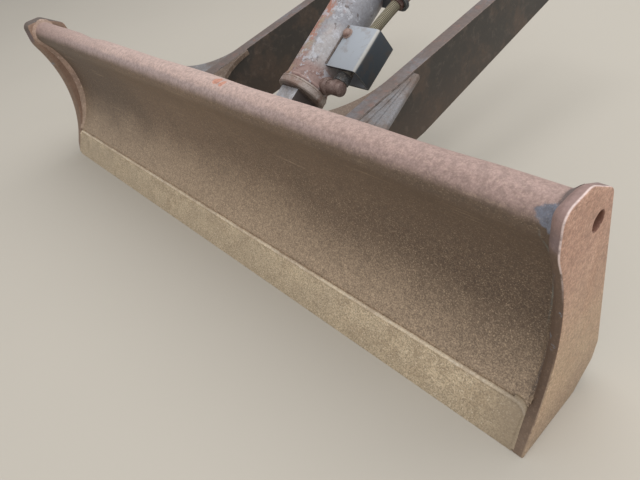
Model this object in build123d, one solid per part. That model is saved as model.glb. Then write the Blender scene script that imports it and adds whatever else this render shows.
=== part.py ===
"""Dozer blade with its push arms and lift ram.

Millimetres, +Z up. The blade faces -Y and its arms run back to +Y.
The finished part has its origin on the arm pivot axis, midway between the arms.
It is modelled from the tip of the cutting edge, and `place` moves it there.
"Left" is +X, as seen from the arms towards the blade.
"""
from build123d import *
import math
import os

# Blade face and rolled top
blade_width = 1500.0
blade_height = 371.0
plate_thick = 10.0
face_radius = 200.0
face_start_angle = 45.5
roll_radius = 28.0
roll_end_angle = 30.0

# Cutting edge bar
edge_angle = 62.3
edge_length = 69.0
edge_thick = 16.0
edge_step = 2.5
edge_corner = 18.0

# End plates
end_thick = 16.0
end_hollow_radius = 324.0
end_hollow_depth = 56.3
end_hollow_middle = 190.6
end_throat_height = 328.0
end_nose_height = 381.0
end_inner_chamfer = 7.0
end_peak_height = 383.0
end_peak_back = 75.0
end_shoulder_height = 351.5
end_shoulder_back = 125.5
end_rear = 182.0
end_heel_height = 64.0
end_heel_rear = 128.0
end_heel_lean = 8.0
end_round = 17.0
end_peak_round = 25.0
end_heel_round = 12.0
end_hole_radius = 11.0
end_hole_back = 100.0
end_hole_height = 326.0

# Folded beam along the back
beam_thick = 8.0
beam_top = 201.0
beam_web_top = 181.0
beam_web_back = 150.0
beam_lean = 14.0
beam_web_foot = 86.0
beam_foot = 66.0
beam_start = 40.0
beam_bend = 14.0

# Upright ribs between the beam and the roll
rib_thick = 10.0
rib_inner = 110.0
rib_outer = 480.0
rib_sink = 10.0
rib_top = 318.0
rib_top_back = 104.0
rib_foot_back = 142.0

# Push arms
arm_spacing = 486.0
arm_thick = 32.0
arm_rise = 9.0
arm_top_at_edge = 199.7
arm_heel_drop = 4.0
arm_heel_run = 270.0
arm_belly_height = 122.0
pivot_back = 1000.0

# Pivot bosses at the arms' ends
boss_radius = 50.0
boss_width = 70.0
bush_wall = 5.0
pivot_pin_radius = 20.0

# Plates that widen the arms' tops towards the blade, seen in plan
cover_thick = 12.0
gusset_thick = 12.0
cover_sink = 2.0
cover_root = 60.0
cover_left_nose = 14.0
cover_left_start = 418.0
cover_left_reach = 95.0
cover_left_end = 160.0
cover_right_nose = 3.0
cover_right_start = 372.0
cover_right_bulge_reach = 28.0
cover_right_bulge_at = 302.0
cover_right_reach = 112.0
cover_right_end = 255.0
gusset_nose = 3.0
gusset_start = 370.0
gusset_bulge_reach = 18.0
gusset_bulge_at = 306.0
gusset_reach = 57.0
gusset_end = 249.0

# Lift ram, from the base pin along its axis
ram_angle = 32.0
ram_pin_back = 278.0
ram_pin_height = 166.0
ram_pin_radius = 17.5
ram_length = 520.0
lug_width = 54.0
lug_radius = 38.0
cap_start = 60.0
cap_length = 20.0
cap_radius = 57.0
barrel_radius = 52.5
barrel_wall = 10.0
barrel_end = 350.0
gland_length = 30.0
gland_radius = 56.0
slot_width = 12.0
slot_length = 14.0
slot_depth = 4.0
slot_count = 6
rod_radius = 22.5
piston_start = 166.0
piston_length = 40.0
eye_neck = 16.0
ram_bush_wall = 5.0

# Ears on the blade's back that hold the base pin
ear_thick = 16.0
ear_radius = 36.0
ear_side_gap = 1.0
ear_top = 181.0
ear_foot = 92.0
pin_overhang = 12.0
keeper_thick = 8.0
keeper_radius = 15.0
keeper_reach = 44.0
keeper_bolt_radius = 9.0
keeper_bolt_height = 7.5

# Feed elbow and hose guard on the barrel's left side
port_at = 98.0
port_boss_radius = 16.0
port_boss_reach = 68.0
elbow_radius = 12.0
elbow_reach = 92.0
elbow_bend = 20.0
elbow_end = 122.0
guard_start = 132.0
guard_end = 235.0
guard_thick = 6.0
guard_top = 25.0
guard_foot = -45.0
guard_reach = 134.0
guard_bend = 9.0
guard_bolt_at = 213.0
guard_bolt_side = 56.0
guard_bolt_radius = 9.5
guard_bolt_height = 9.0

# Feed hose, along the barrel to a coupling held on a bracket
hose_radius = 12.0
ferrule_radius = 15.0
ferrule_length = 38.0
coupling_radius = 17.0
coupling_start = 322.0
coupling_length = 36.0
bracket_step = 8.0
bracket_thick = 8.0
bracket_margin = 7.0
nipple_radius = 4.0
nipple_height = 9.0
nipple_back = 14.0
hose_bow_start = 230.0
hose_bow_at = 282.0
hose_bow_side = 3.0
hose_bow_drop = 5.0
hose_end_side = 6.0
hose_end_drop = 12.0
hose_bends = (200.0, 240.0)

# Fits and gaps
weld_gap = 0.3
running_fit = 0.05

half_width = blade_width / 2
inner_half = half_width - end_thick
rib_places = (-rib_outer, -rib_inner, rib_inner, rib_outer)
hose_route = (
    # side, along, up
    (elbow_reach, elbow_end + ferrule_length, 0.0),
    (elbow_reach, hose_bow_start, 0.0),
    (elbow_reach + hose_bow_side, hose_bow_at, -hose_bow_drop),
    (elbow_reach + hose_end_side, coupling_start, -hose_end_drop),
)
cover_plan = {
    # side: nose, start along, bulge as (reach, along) or None for a straight edge, end as (reach, along)
    1: (cover_left_nose, cover_left_start, None, (cover_left_reach, cover_left_end)),
    -1: (cover_right_nose, cover_right_start, (cover_right_bulge_reach, cover_right_bulge_at),
         (cover_right_reach, cover_right_end)),
}
gusset_plan = (gusset_nose, gusset_start, (gusset_bulge_reach, gusset_bulge_at),
               (gusset_reach, gusset_end))


def polar(centre, radius, angle):
    """Point on a circle, from the angle in degrees."""
    turn = math.radians(angle)
    return (centre[0] + radius * math.cos(turn), centre[1] + radius * math.sin(turn))


# Points of the blade's side view, as (back, up) from the tip
edge_top = polar((0, 0), edge_length, edge_angle)
face_foot = polar(edge_top, edge_step, edge_angle - 90)
face_centre = polar(face_foot, face_radius, face_start_angle + 90)
roll_turn = math.degrees(
    math.asin((blade_height - roll_radius - face_centre[1]) / (face_radius + roll_radius))
)
roll_centre = polar(face_centre, face_radius + roll_radius, roll_turn)
pivot_up = arm_top_at_edge + pivot_back * math.tan(math.radians(arm_rise)) \
    - boss_radius / math.cos(math.radians(arm_rise))
back_radius = face_radius + plate_thick + weld_gap
end_centre = (end_hollow_depth - end_hollow_radius, end_hollow_middle)

place = Pos(0, -pivot_back, -pivot_up)
ram_place = place * Pos(0, ram_pin_back, ram_pin_height) * Rot(ram_angle, 0, 0)


def save(name, shape, where=place):
    """Write one node at its place."""
    moved = where * shape
    if isinstance(moved, list):
        moved = Compound(children=moved)
    moved.label = name
    export_step(moved, f"parts/{name}.step")


def side_slab(outline, middle, width):
    """Extrude a side view along X, centred on a place across the blade."""
    return Pos(middle - width / 2, 0, 0) * extrude(Plane.YZ * outline, width, dir=(1, 0, 0))


def disc(centre, radius):
    """Round face of the side view."""
    return Pos(centre[0], centre[1]) * Circle(radius)


def mouldboard_outline():
    """One plate, hollow in front and rolled back over the top."""
    outer_r = roll_radius
    inner_r = roll_radius - plate_thick
    back_r = face_radius + plate_thick
    low = face_start_angle - 90
    mid = (low + roll_turn) / 2
    over = (180 + roll_turn + roll_end_angle) / 2
    start = polar(face_centre, face_radius, low)
    join = polar(face_centre, face_radius, roll_turn)
    lip = polar(roll_centre, outer_r, roll_end_angle)
    lip_in = polar(roll_centre, inner_r, roll_end_angle)
    join_in = polar(face_centre, back_r, roll_turn)
    start_in = polar(face_centre, back_r, low)
    edges = [
        ThreePointArc(start, polar(face_centre, face_radius, mid), join),
        ThreePointArc(join, polar(roll_centre, outer_r, over), lip),
        Line(lip, lip_in),
        ThreePointArc(lip_in, polar(roll_centre, inner_r, over), join_in),
        ThreePointArc(join_in, polar(face_centre, back_r, mid), start_in),
        Line(start_in, start),
    ]
    return make_face(edges)


def bar_outline(grow=0.0):
    """Side view of the cutting edge bar."""
    lean = math.radians(edge_angle)
    shift = (edge_thick * math.sin(lean), -edge_thick * math.cos(lean))
    top_rear = (edge_top[0] + shift[0], edge_top[1] + shift[1])
    shape = make_face(Polyline((0, 0), edge_top, top_rear, shift, close=True))
    return offset(shape, grow, kind=Kind.INTERSECTION) if grow else shape


def mouldboard():
    outline = mouldboard_outline() - bar_outline(weld_gap)
    return side_slab(outline, 0, 2 * (inner_half - weld_gap))


def cutting_edge():
    """Flat bar with rounded upper corners, leaning back."""
    length = 2 * (inner_half - weld_gap)
    bar = extrude(Rectangle(length, edge_length, align=(Align.CENTER, Align.MIN)), -edge_thick)
    corners = bar.edges().filter_by(Axis.Z).group_by(Axis.Y)[-1]
    bar = fillet(corners, edge_corner)
    slope = math.radians(edge_angle)
    bar = Plane(origin=(0, 0, 0), x_dir=(1, 0, 0), z_dir=(0, -math.sin(slope), math.cos(slope))) * bar
    floor = Pos(0, 0, -edge_thick) * Box(2 * blade_width, blade_width, 2 * edge_thick)
    return bar - floor


def end_plate(side):
    """Side plate with a hollow front chamfered on its inner side, a round nose and one plain hole."""
    low = math.degrees(math.asin((edge_top[1] - end_hollow_middle) / end_hollow_radius))
    high = math.degrees(math.asin((end_throat_height - end_hollow_middle) / end_hollow_radius))
    foot = polar(end_centre, end_hollow_radius, low)
    throat = polar(end_centre, end_hollow_radius, high)
    points = [
        (0, 0), foot, throat, (throat[0], end_nose_height), (end_peak_back, end_peak_height),
        (end_shoulder_back, end_shoulder_height), (end_rear, end_heel_height),
        (end_rear - end_heel_lean, end_heel_height / 2), (end_heel_rear, 0),
    ]
    rounds = [1, 1, 8, end_round, end_peak_round, end_round,
              end_heel_round, end_heel_round, end_heel_round]
    outline = make_face(FilletPolyline(*points, radius=rounds, close=True))
    outline -= disc(end_centre, end_hollow_radius)
    outline -= disc((end_hole_back, end_hole_height), end_hole_radius)
    plate = side_slab(outline, side * (half_width - end_thick / 2), end_thick)
    bevel = Cone(end_hollow_radius + end_inner_chamfer, end_hollow_radius, end_inner_chamfer,
                 align=(Align.CENTER, Align.CENTER, Align.MIN))
    return plate - Pos(side * inner_half, *end_centre) * Rot(0, side * 90, 0) * bevel


beam_corners = [
    (beam_start, beam_top),
    (beam_web_back, beam_web_top),
    (beam_web_back + beam_lean, beam_web_foot),
    (beam_start, beam_foot),
]


def beam_solid(grow=0.0):
    """Filled side view of the back beam, for the beam and what fits round it."""
    shape = make_face(FilletPolyline(*beam_corners, radius=[1, beam_bend, beam_bend, 1], close=True))
    if grow:
        shape = offset(shape, grow, kind=Kind.ARC)
    return shape


def back_beam():
    outline = beam_solid() - offset(beam_solid(), -beam_thick, kind=Kind.ARC)
    outline -= disc(face_centre, back_radius)
    return side_slab(outline, 0, 2 * (inner_half - weld_gap))


def back_rib(middle):
    outline = make_face(Polyline(
        (beam_start, beam_web_top - rib_sink), (rib_foot_back, beam_web_top - rib_sink),
        (rib_top_back, rib_top), (beam_start, rib_top + rib_sink), close=True))
    outline -= disc(face_centre, back_radius)
    outline -= disc(roll_centre, roll_radius + weld_gap)
    outline -= beam_solid(weld_gap)
    return side_slab(outline, middle, rib_thick)


def arm_top(back):
    """Height of the arms' top edge."""
    return arm_top_at_edge + back * math.tan(math.radians(arm_rise))


def arm_outline():
    """Side view of an arm, deep at the blade and tapering to the boss."""
    rise = math.radians(arm_rise)
    heel = beam_web_back + beam_lean
    top_tangent = (pivot_back - boss_radius * math.sin(rise), pivot_up + boss_radius * math.cos(rise))
    belly = (heel + arm_heel_run, arm_belly_height)
    reach = math.dist(belly, (pivot_back, pivot_up))
    lean = math.atan2(pivot_up - belly[1], pivot_back - belly[0]) - math.asin(boss_radius / reach)
    low_tangent = (pivot_back + boss_radius * math.sin(lean), pivot_up - boss_radius * math.cos(lean))
    shape = make_face(Polyline(
        (beam_start, arm_top(beam_start)), top_tangent, (pivot_back, pivot_up), low_tangent, belly,
        (heel, beam_web_foot + arm_heel_drop), (heel - beam_lean, beam_web_top),
        (beam_start, beam_top), close=True))
    shape -= disc(face_centre, back_radius)
    shape -= beam_solid(weld_gap)
    return shape


def arm(side):
    shape = arm_outline() - disc((pivot_back, pivot_up), boss_radius + weld_gap)
    return side_slab(shape, side * arm_spacing / 2, arm_thick)


def pivot_boss(side):
    middle = side * arm_spacing / 2
    ring = disc((pivot_back, pivot_up), boss_radius)
    ring -= disc((pivot_back, pivot_up), pivot_pin_radius + bush_wall)
    return side_slab(ring, middle, boss_width)


def pivot_bush(side):
    middle = side * arm_spacing / 2
    ring = disc((pivot_back, pivot_up), pivot_pin_radius + bush_wall)
    ring -= disc((pivot_back, pivot_up), pivot_pin_radius)
    return side_slab(ring, middle, boss_width)


arm_outer = arm_spacing / 2 + arm_thick / 2
arm_inner = arm_spacing / 2 - arm_thick / 2


def arm_plate(root, away, plan, thick):
    """Plate just under the arms' top plane, beside an arm's face and flaring towards the blade."""
    nose, begin, bulge, end = plan
    rise = math.radians(arm_rise)
    top = Plane(origin=(0, 0, arm_top(0) - cover_sink), x_dir=(1, 0, 0),
                z_dir=(0, -math.sin(rise), math.cos(rise)))
    start = (root, begin)
    step = (root + away * nose, begin)
    flare = (root + away * end[0], end[1])
    foot = (flare[0], cover_root)
    if bulge:
        edge = ThreePointArc(step, (root + away * bulge[0], bulge[1]), flare)
    else:
        edge = Line(step, flare)
    edges = [Line(start, step), edge, Line(flare, foot), Line(foot, (root, cover_root)),
             Line((root, cover_root), start)]
    down = (0, math.sin(rise), -math.cos(rise))
    plate = extrude(top * make_face(edges), thick, dir=down)
    plate -= side_slab(disc(face_centre, back_radius), 0, blade_width)
    plate -= side_slab(beam_solid(weld_gap), 0, blade_width)
    return plate


def arm_cover(side):
    """Plate that closes the flare on the outer side of an arm."""
    return arm_plate(side * (arm_outer + weld_gap), side, cover_plan[side], cover_thick)


def arm_gusset(side):
    """Thin plate with a hollow edge on the inner side of an arm."""
    return arm_plate(side * (arm_inner - weld_gap), -side, gusset_plan, gusset_thick)


def ram_ear(side):
    pin = (ram_pin_back, ram_pin_height)
    shape = make_face(Polyline(
        (beam_web_back, ear_top), (pin[0], pin[1] + ear_radius), (pin[0], pin[1] - ear_radius),
        (beam_web_back, ear_foot), close=True))
    shape += disc(pin, ear_radius)
    shape -= disc(pin, ram_pin_radius + running_fit)
    shape -= beam_solid(weld_gap)
    middle = lug_width / 2 + ear_side_gap + ear_thick / 2
    return side_slab(shape, side * middle, ear_thick)


ear_outer = lug_width / 2 + ear_side_gap + ear_thick


def ram_pin():
    """Pin that ends flush with the left ear and stands out of the right one."""
    length = 2 * ear_outer + pin_overhang
    middle = -pin_overhang / 2
    return side_slab(disc((ram_pin_back, ram_pin_height), ram_pin_radius), middle, length)


keeper_bolt_place = (ram_pin_back - keeper_reach, ram_pin_height)


def pin_keeper():
    """Flag plate on the left ear that stops the pin from turning or leaving."""
    middle = (ram_pin_back - keeper_reach / 2, ram_pin_height)
    shape = disc((ram_pin_back, ram_pin_height), keeper_radius) + disc(keeper_bolt_place, keeper_radius)
    shape += Pos(*middle) * Rectangle(keeper_reach, 2 * keeper_radius)
    return side_slab(shape, ear_outer + weld_gap + keeper_thick / 2, keeper_thick)


def keeper_bolt():
    face = ear_outer + weld_gap + keeper_thick
    head = Pos(*keeper_bolt_place) * RegularPolygon(keeper_bolt_radius, 6)
    return side_slab(head, face + keeper_bolt_height / 2, keeper_bolt_height)


def along_ram(radius, start, length):
    """Round bar on the ram's axis."""
    return Pos(0, start, 0) * extrude(Plane.XZ * Circle(radius), length, dir=(0, 1, 0))


def across_ram(outline, width):
    """Extrude a side view of the ram across its axis."""
    return side_slab(outline, 0, width)


ram_bush_radius = ram_pin_radius + running_fit + ram_bush_wall


def base_lug():
    shape = Circle(lug_radius) + Pos(cap_start / 2, 0) * Rectangle(cap_start, 2 * lug_radius)
    shape -= Circle(ram_bush_radius)
    return across_ram(shape, lug_width)


def ram_bush():
    return across_ram(Circle(ram_bush_radius) - Circle(ram_pin_radius + running_fit), lug_width)


def cap_end():
    cap = along_ram(cap_radius, cap_start, cap_length)
    return chamfer(cap.edges().filter_by(GeomType.CIRCLE), 3)


barrel_start = cap_start + cap_length


def barrel_tube():
    length = barrel_end - barrel_start
    tube = along_ram(barrel_radius, barrel_start, length)
    return tube - along_ram(barrel_radius - barrel_wall, barrel_start, length)


def gland_nut():
    """Screwed head with spanner slots and the rod's bore."""
    nut = along_ram(gland_radius, barrel_end, gland_length)
    nut = chamfer(nut.edges().filter_by(GeomType.CIRCLE), 3)
    slot = Pos(0, barrel_end + gland_length / 2, gland_radius)
    slot *= Box(slot_width, slot_length, 2 * slot_depth)
    for turn in range(slot_count):
        nut -= Rot(0, turn * 360 / slot_count, 0) * slot
    return nut - along_ram(rod_radius + running_fit, barrel_end, gland_length)


rod_tail = piston_start + piston_length
eye_start = ram_length - lug_radius - eye_neck


def piston():
    ring = along_ram(barrel_radius - barrel_wall - running_fit, piston_start, piston_length)
    return ring


def piston_rod():
    return along_ram(rod_radius, rod_tail, eye_start - rod_tail)


def rod_eye():
    shape = Pos(ram_length, 0) * Circle(lug_radius)
    neck = lug_radius + eye_neck
    shape += Pos(ram_length - neck / 2, 0) * Rectangle(neck, lug_width)
    shape -= Pos(ram_length, 0) * Circle(ram_bush_radius)
    return across_ram(shape, lug_width)


def rod_eye_bush():
    return Pos(0, ram_length, 0) * across_ram(
        Circle(ram_bush_radius) - Circle(ram_pin_radius), lug_width)


def port_elbow():
    """Boss on the barrel and a tube that turns along it."""
    foot = math.sqrt(barrel_radius ** 2 - port_boss_radius ** 2)
    boss = Pos(foot, port_at, 0) * Rot(0, 90, 0) * Cylinder(
        port_boss_radius, port_boss_reach - foot, align=(Align.CENTER, Align.CENTER, Align.MIN))
    boss -= along_ram(barrel_radius + weld_gap, barrel_start, barrel_end)
    path = FilletPolyline(
        (port_boss_reach, port_at, 0), (elbow_reach, port_at, 0), (elbow_reach, elbow_end, 0),
        radius=elbow_bend)
    tube = sweep(Plane(origin=path @ 0, z_dir=path % 0) * Circle(elbow_radius), path=path)
    return boss + tube


def hose_guard():
    """Folded channel, open at both ends, welded to the barrel's left side."""
    outline = make_face(FilletPolyline(
        (0, guard_top), (guard_reach, guard_top), (guard_reach, guard_foot), (0, guard_foot),
        radius=[1, guard_bend, guard_bend, 1], close=True))
    outline -= offset(outline, -guard_thick, kind=Kind.ARC)
    outline -= Circle(barrel_radius + weld_gap)
    outline -= Rectangle(guard_thick * 3, guard_reach)
    length = guard_end - guard_start
    return Pos(0, guard_start, 0) * extrude(Plane.XZ * outline, length, dir=(0, 1, 0))


def guard_bolt():
    base = Pos(guard_bolt_side, guard_bolt_at, guard_top)
    head = base * Cylinder(guard_bolt_radius, guard_bolt_height,
                           align=(Align.CENTER, Align.CENTER, Align.MIN))
    return fillet(head.edges().group_by(Axis.Z)[-1], 3)


def hose_line():
    return FilletPolyline(*hose_route, radius=list(hose_bends))


def feed_hose():
    path = hose_line()
    return sweep(Plane(origin=path @ 0, z_dir=path % 0) * Circle(hose_radius), path=path)


def hose_ferrule():
    """Crimped sleeve where the hose leaves the elbow."""
    base = Pos(elbow_reach, elbow_end, 0) * Rot(-90, 0, 0)
    return base * Cylinder(ferrule_radius, ferrule_length,
                           align=(Align.CENTER, Align.CENTER, Align.MIN))


def coupling_plane():
    path = hose_line()
    return Plane(origin=path @ 1, x_dir=(1, 0, 0), z_dir=path % 1)


def hose_coupling():
    """Hexagon union on the hose's upper end."""
    body = extrude(RegularPolygon(coupling_radius, 6), coupling_length)
    return coupling_plane() * body


def hose_bracket():
    """Plate from the barrel that holds the coupling."""
    outer = coupling_radius + bracket_margin
    shape = Circle(outer) + Pos(-elbow_reach / 2, 0) * Rectangle(elbow_reach, 2 * outer)
    shape -= Circle(coupling_radius + weld_gap)
    plate = coupling_plane() * (Pos(0, 0, bracket_step) * extrude(shape, bracket_thick))
    return plate - along_ram(barrel_radius + weld_gap, barrel_start, barrel_end)


def grease_nipple(along):
    """Nipple under an eye of the ram."""
    stem = Cylinder(nipple_radius, nipple_height, align=(Align.CENTER, Align.CENTER, Align.MAX))
    stem = chamfer(stem.edges().group_by(Axis.Z)[0], nipple_radius / 2)
    return Pos(0, along, -lug_radius - weld_gap) * stem


def main():
    os.makedirs("parts", exist_ok=True)
    save("mouldboard", mouldboard())
    save("cutting_edge", cutting_edge())
    save("back_beam", back_beam())
    for side, word in ((1, "left"), (-1, "right")):
        save(f"end_plate_{word}", end_plate(side))
        save(f"push_arm_{word}", arm(side))
        save(f"arm_cover_{word}", arm_cover(side))
        save(f"arm_gusset_{word}", arm_gusset(side))
        save(f"pivot_boss_{word}", pivot_boss(side))
        save(f"pivot_bush_{word}", pivot_bush(side))
        save(f"ram_ear_{word}", ram_ear(side))
    for number, middle in enumerate(rib_places, 1):
        save(f"back_rib_{number}", back_rib(middle))
    save("ram_pin", ram_pin())
    save("base_lug", base_lug(), ram_place)
    save("base_bush", ram_bush(), ram_place)
    save("cap_end", cap_end(), ram_place)
    save("barrel_tube", barrel_tube(), ram_place)
    save("gland_nut", gland_nut(), ram_place)
    save("piston", piston(), ram_place)
    save("piston_rod", piston_rod(), ram_place)
    save("rod_eye", rod_eye(), ram_place)
    save("rod_eye_bush", rod_eye_bush(), ram_place)
    save("port_elbow", port_elbow(), ram_place)
    save("hose_guard", hose_guard(), ram_place)
    save("guard_bolt", guard_bolt(), ram_place)
    save("feed_hose", feed_hose(), ram_place)
    save("hose_ferrule", hose_ferrule(), ram_place)
    save("hose_coupling", hose_coupling(), ram_place)
    save("hose_bracket", hose_bracket(), ram_place)
    save("pin_keeper", pin_keeper())
    save("keeper_bolt", keeper_bolt())
    save("grease_nipple_base", grease_nipple(nipple_back), ram_place)
    save("grease_nipple_rod", grease_nipple(ram_length), ram_place)
    print("pivot height above the cutting edge", round(pivot_up, 2))


main()
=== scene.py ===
"""Looks of a worn dozer blade with its push arms and lift ram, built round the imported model.

Metres. The origin is on the arms' pivot axis, the blade faces -Y and +X is its left, seen from the arms.
Side views are given as (back, up) points in millimetres from the tip of the cutting edge.
"""

import logging
import math
from dataclasses import dataclass, field
from enum import Enum
from typing import Callable, Iterable, Optional, Sequence

import bmesh
import bpy
from mathutils import Euler, Matrix, Vector


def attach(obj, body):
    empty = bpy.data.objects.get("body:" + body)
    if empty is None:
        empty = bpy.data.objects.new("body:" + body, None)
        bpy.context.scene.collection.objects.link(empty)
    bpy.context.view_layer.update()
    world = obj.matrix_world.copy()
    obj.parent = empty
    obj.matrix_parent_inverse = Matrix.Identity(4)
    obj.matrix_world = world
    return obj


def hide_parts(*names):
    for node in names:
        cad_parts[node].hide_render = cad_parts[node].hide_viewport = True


log = logging.getLogger("blade")
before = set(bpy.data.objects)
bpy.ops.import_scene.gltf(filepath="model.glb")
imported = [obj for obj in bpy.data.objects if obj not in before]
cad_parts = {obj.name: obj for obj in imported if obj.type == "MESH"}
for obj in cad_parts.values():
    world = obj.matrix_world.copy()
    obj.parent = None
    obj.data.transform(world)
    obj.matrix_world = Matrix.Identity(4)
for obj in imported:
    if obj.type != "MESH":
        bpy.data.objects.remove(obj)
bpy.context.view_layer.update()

MM = 0.001
PIVOT_BACK = 1000.0
PIVOT_UP = 307.46
RAM_ANGLE = 32.0
RAM_PIN = (278.0, 166.0)

Point = tuple[float, float]
Colour = tuple[float, float, float]


class Side(Enum):
    """The blade's two sides, as seen from the arms."""

    LEFT = 1
    RIGHT = -1

    @property
    def word(self) -> str:
        """Name of the side as it ends a node's name."""
        return self.name.lower()


def at(across: float, back: float, up: float) -> Vector:
    """Point of the row frame, in metres, from millimetres measured at the blade's tip."""
    return Vector((across, back - PIVOT_BACK, up - PIVOT_UP)) * MM


def ram_matrix() -> Matrix:
    """Place of the ram's own frame: X across, Y along its axis, origin on its base pin."""
    turn = Matrix.Rotation(math.radians(RAM_ANGLE), 4, "X")
    return Matrix.Translation(at(0, *RAM_PIN)) @ turn


def polar(centre: Point, radius: float, angle: float) -> Point:
    """Point on a circle, from the angle in degrees."""
    turn = math.radians(angle)
    return (centre[0] + radius * math.cos(turn), centre[1] + radius * math.sin(turn))


# ---------------------------------------------------------------- workbench


class Bench:
    """Edit-mode moves that every piece shares."""

    @staticmethod
    def clear() -> None:
        """Leave edit mode and deselect everything."""
        if bpy.context.object and bpy.context.object.mode != "OBJECT":
            bpy.ops.object.mode_set(mode="OBJECT")
        bpy.ops.object.select_all(action="DESELECT")

    @staticmethod
    def open(obj: bpy.types.Object) -> None:
        """Take one object into edit mode."""
        Bench.clear()
        bpy.context.view_layer.objects.active = obj
        obj.select_set(True)
        bpy.ops.object.mode_set(mode="EDIT")

    @staticmethod
    def pick(obj: bpy.types.Object, test: Callable, kind: str = "VERT") -> int:
        """Select what passes a test.

        Args:
            obj: Object in edit mode.
            test: Called with each vertex, edge or face.
            kind: VERT, EDGE or FACE.

        Returns:
            How many were selected.
        """
        bpy.ops.mesh.select_mode(type=kind)
        bpy.ops.mesh.select_all(action="DESELECT")
        shape = bmesh.from_edit_mesh(obj.data)
        group = {"VERT": shape.verts, "EDGE": shape.edges, "FACE": shape.faces}[kind]
        count = 0
        for item in group:
            if test(item):
                item.select_set(True)
                count += 1
        bmesh.update_edit_mesh(obj.data)
        return count

    @staticmethod
    def modify(obj: bpy.types.Object, kind: str, **values: object) -> None:
        """Add a modifier with these values and apply it."""
        Bench.clear()
        bpy.context.view_layer.objects.active = obj
        obj.select_set(True)
        step = obj.modifiers.new(kind.lower(), kind)
        for name, value in values.items():
            setattr(step, name, value)
        bpy.ops.object.modifier_apply(modifier=step.name)

    @staticmethod
    def settle(obj: bpy.types.Object, merge: float = 1e-5) -> None:
        """Apply the object's place, merge doubles and turn its faces outwards."""
        Bench.clear()
        bpy.context.view_layer.objects.active = obj
        obj.select_set(True)
        bpy.ops.object.transform_apply(location=True, rotation=True, scale=True)
        bpy.ops.object.mode_set(mode="EDIT")
        bpy.ops.mesh.select_all(action="SELECT")
        bpy.ops.mesh.remove_doubles(threshold=merge)
        bpy.ops.mesh.normals_make_consistent(inside=False)
        bpy.ops.object.mode_set(mode="OBJECT")

    @staticmethod
    def smooth(obj: bpy.types.Object, angle: float = 35.0) -> None:
        """Shade smooth, but for edges sharper than the angle in degrees."""
        Bench.clear()
        bpy.context.view_layer.objects.active = obj
        obj.select_set(True)
        bpy.ops.object.shade_smooth_by_angle(angle=math.radians(angle))

    @staticmethod
    def bevel(obj: bpy.types.Object, width: float, segments: int = 2, angle: float = 40.0) -> None:
        """Round every edge sharper than the angle.

        Args:
            obj: Object to round.
            width: Width of the rounding in millimetres.
            segments: Faces across the rounding.
            angle: Smallest angle in degrees that is rounded.
        """
        Bench.modify(obj, "BEVEL", width=width * MM, segments=segments, limit_method="ANGLE",
                     angle_limit=math.radians(angle), use_clamp_overlap=True, miter_outer="MITER_ARC")

    @staticmethod
    def join(parts: Sequence[bpy.types.Object]) -> bpy.types.Object:
        """Join objects into the first one."""
        Bench.clear()
        for part in parts:
            part.select_set(True)
        bpy.context.view_layer.objects.active = parts[0]
        bpy.ops.object.join()
        return parts[0]

    @staticmethod
    def cut(obj: bpy.types.Object, tool: bpy.types.Object) -> None:
        """Take one solid out of another and throw the tool away."""
        Bench.modify(obj, "BOOLEAN", operation="DIFFERENCE", object=tool, solver="EXACT")
        bpy.data.objects.remove(tool)

    @staticmethod
    def dent(obj: bpy.types.Object, size: float, depth: float, seed: float = 0.0,
             group: str = "") -> None:
        """Push the surface in and out by a cloudy amount.

        Args:
            obj: Object with enough faces to follow the dents.
            size: Size of a dent in millimetres.
            depth: Largest movement in millimetres.
            seed: Added to the texture's contrast.
            group: Vertex group that weighs the movement.
        """
        cloud = bpy.data.textures.new("dents", "CLOUDS")
        cloud.noise_scale = size * MM
        cloud.noise_depth = 1
        cloud.contrast = 1.0 + seed
        Bench.modify(obj, "DISPLACE", texture=cloud, texture_coords="LOCAL", mid_level=0.5,
                     strength=2 * depth * MM, vertex_group=group)


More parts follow.
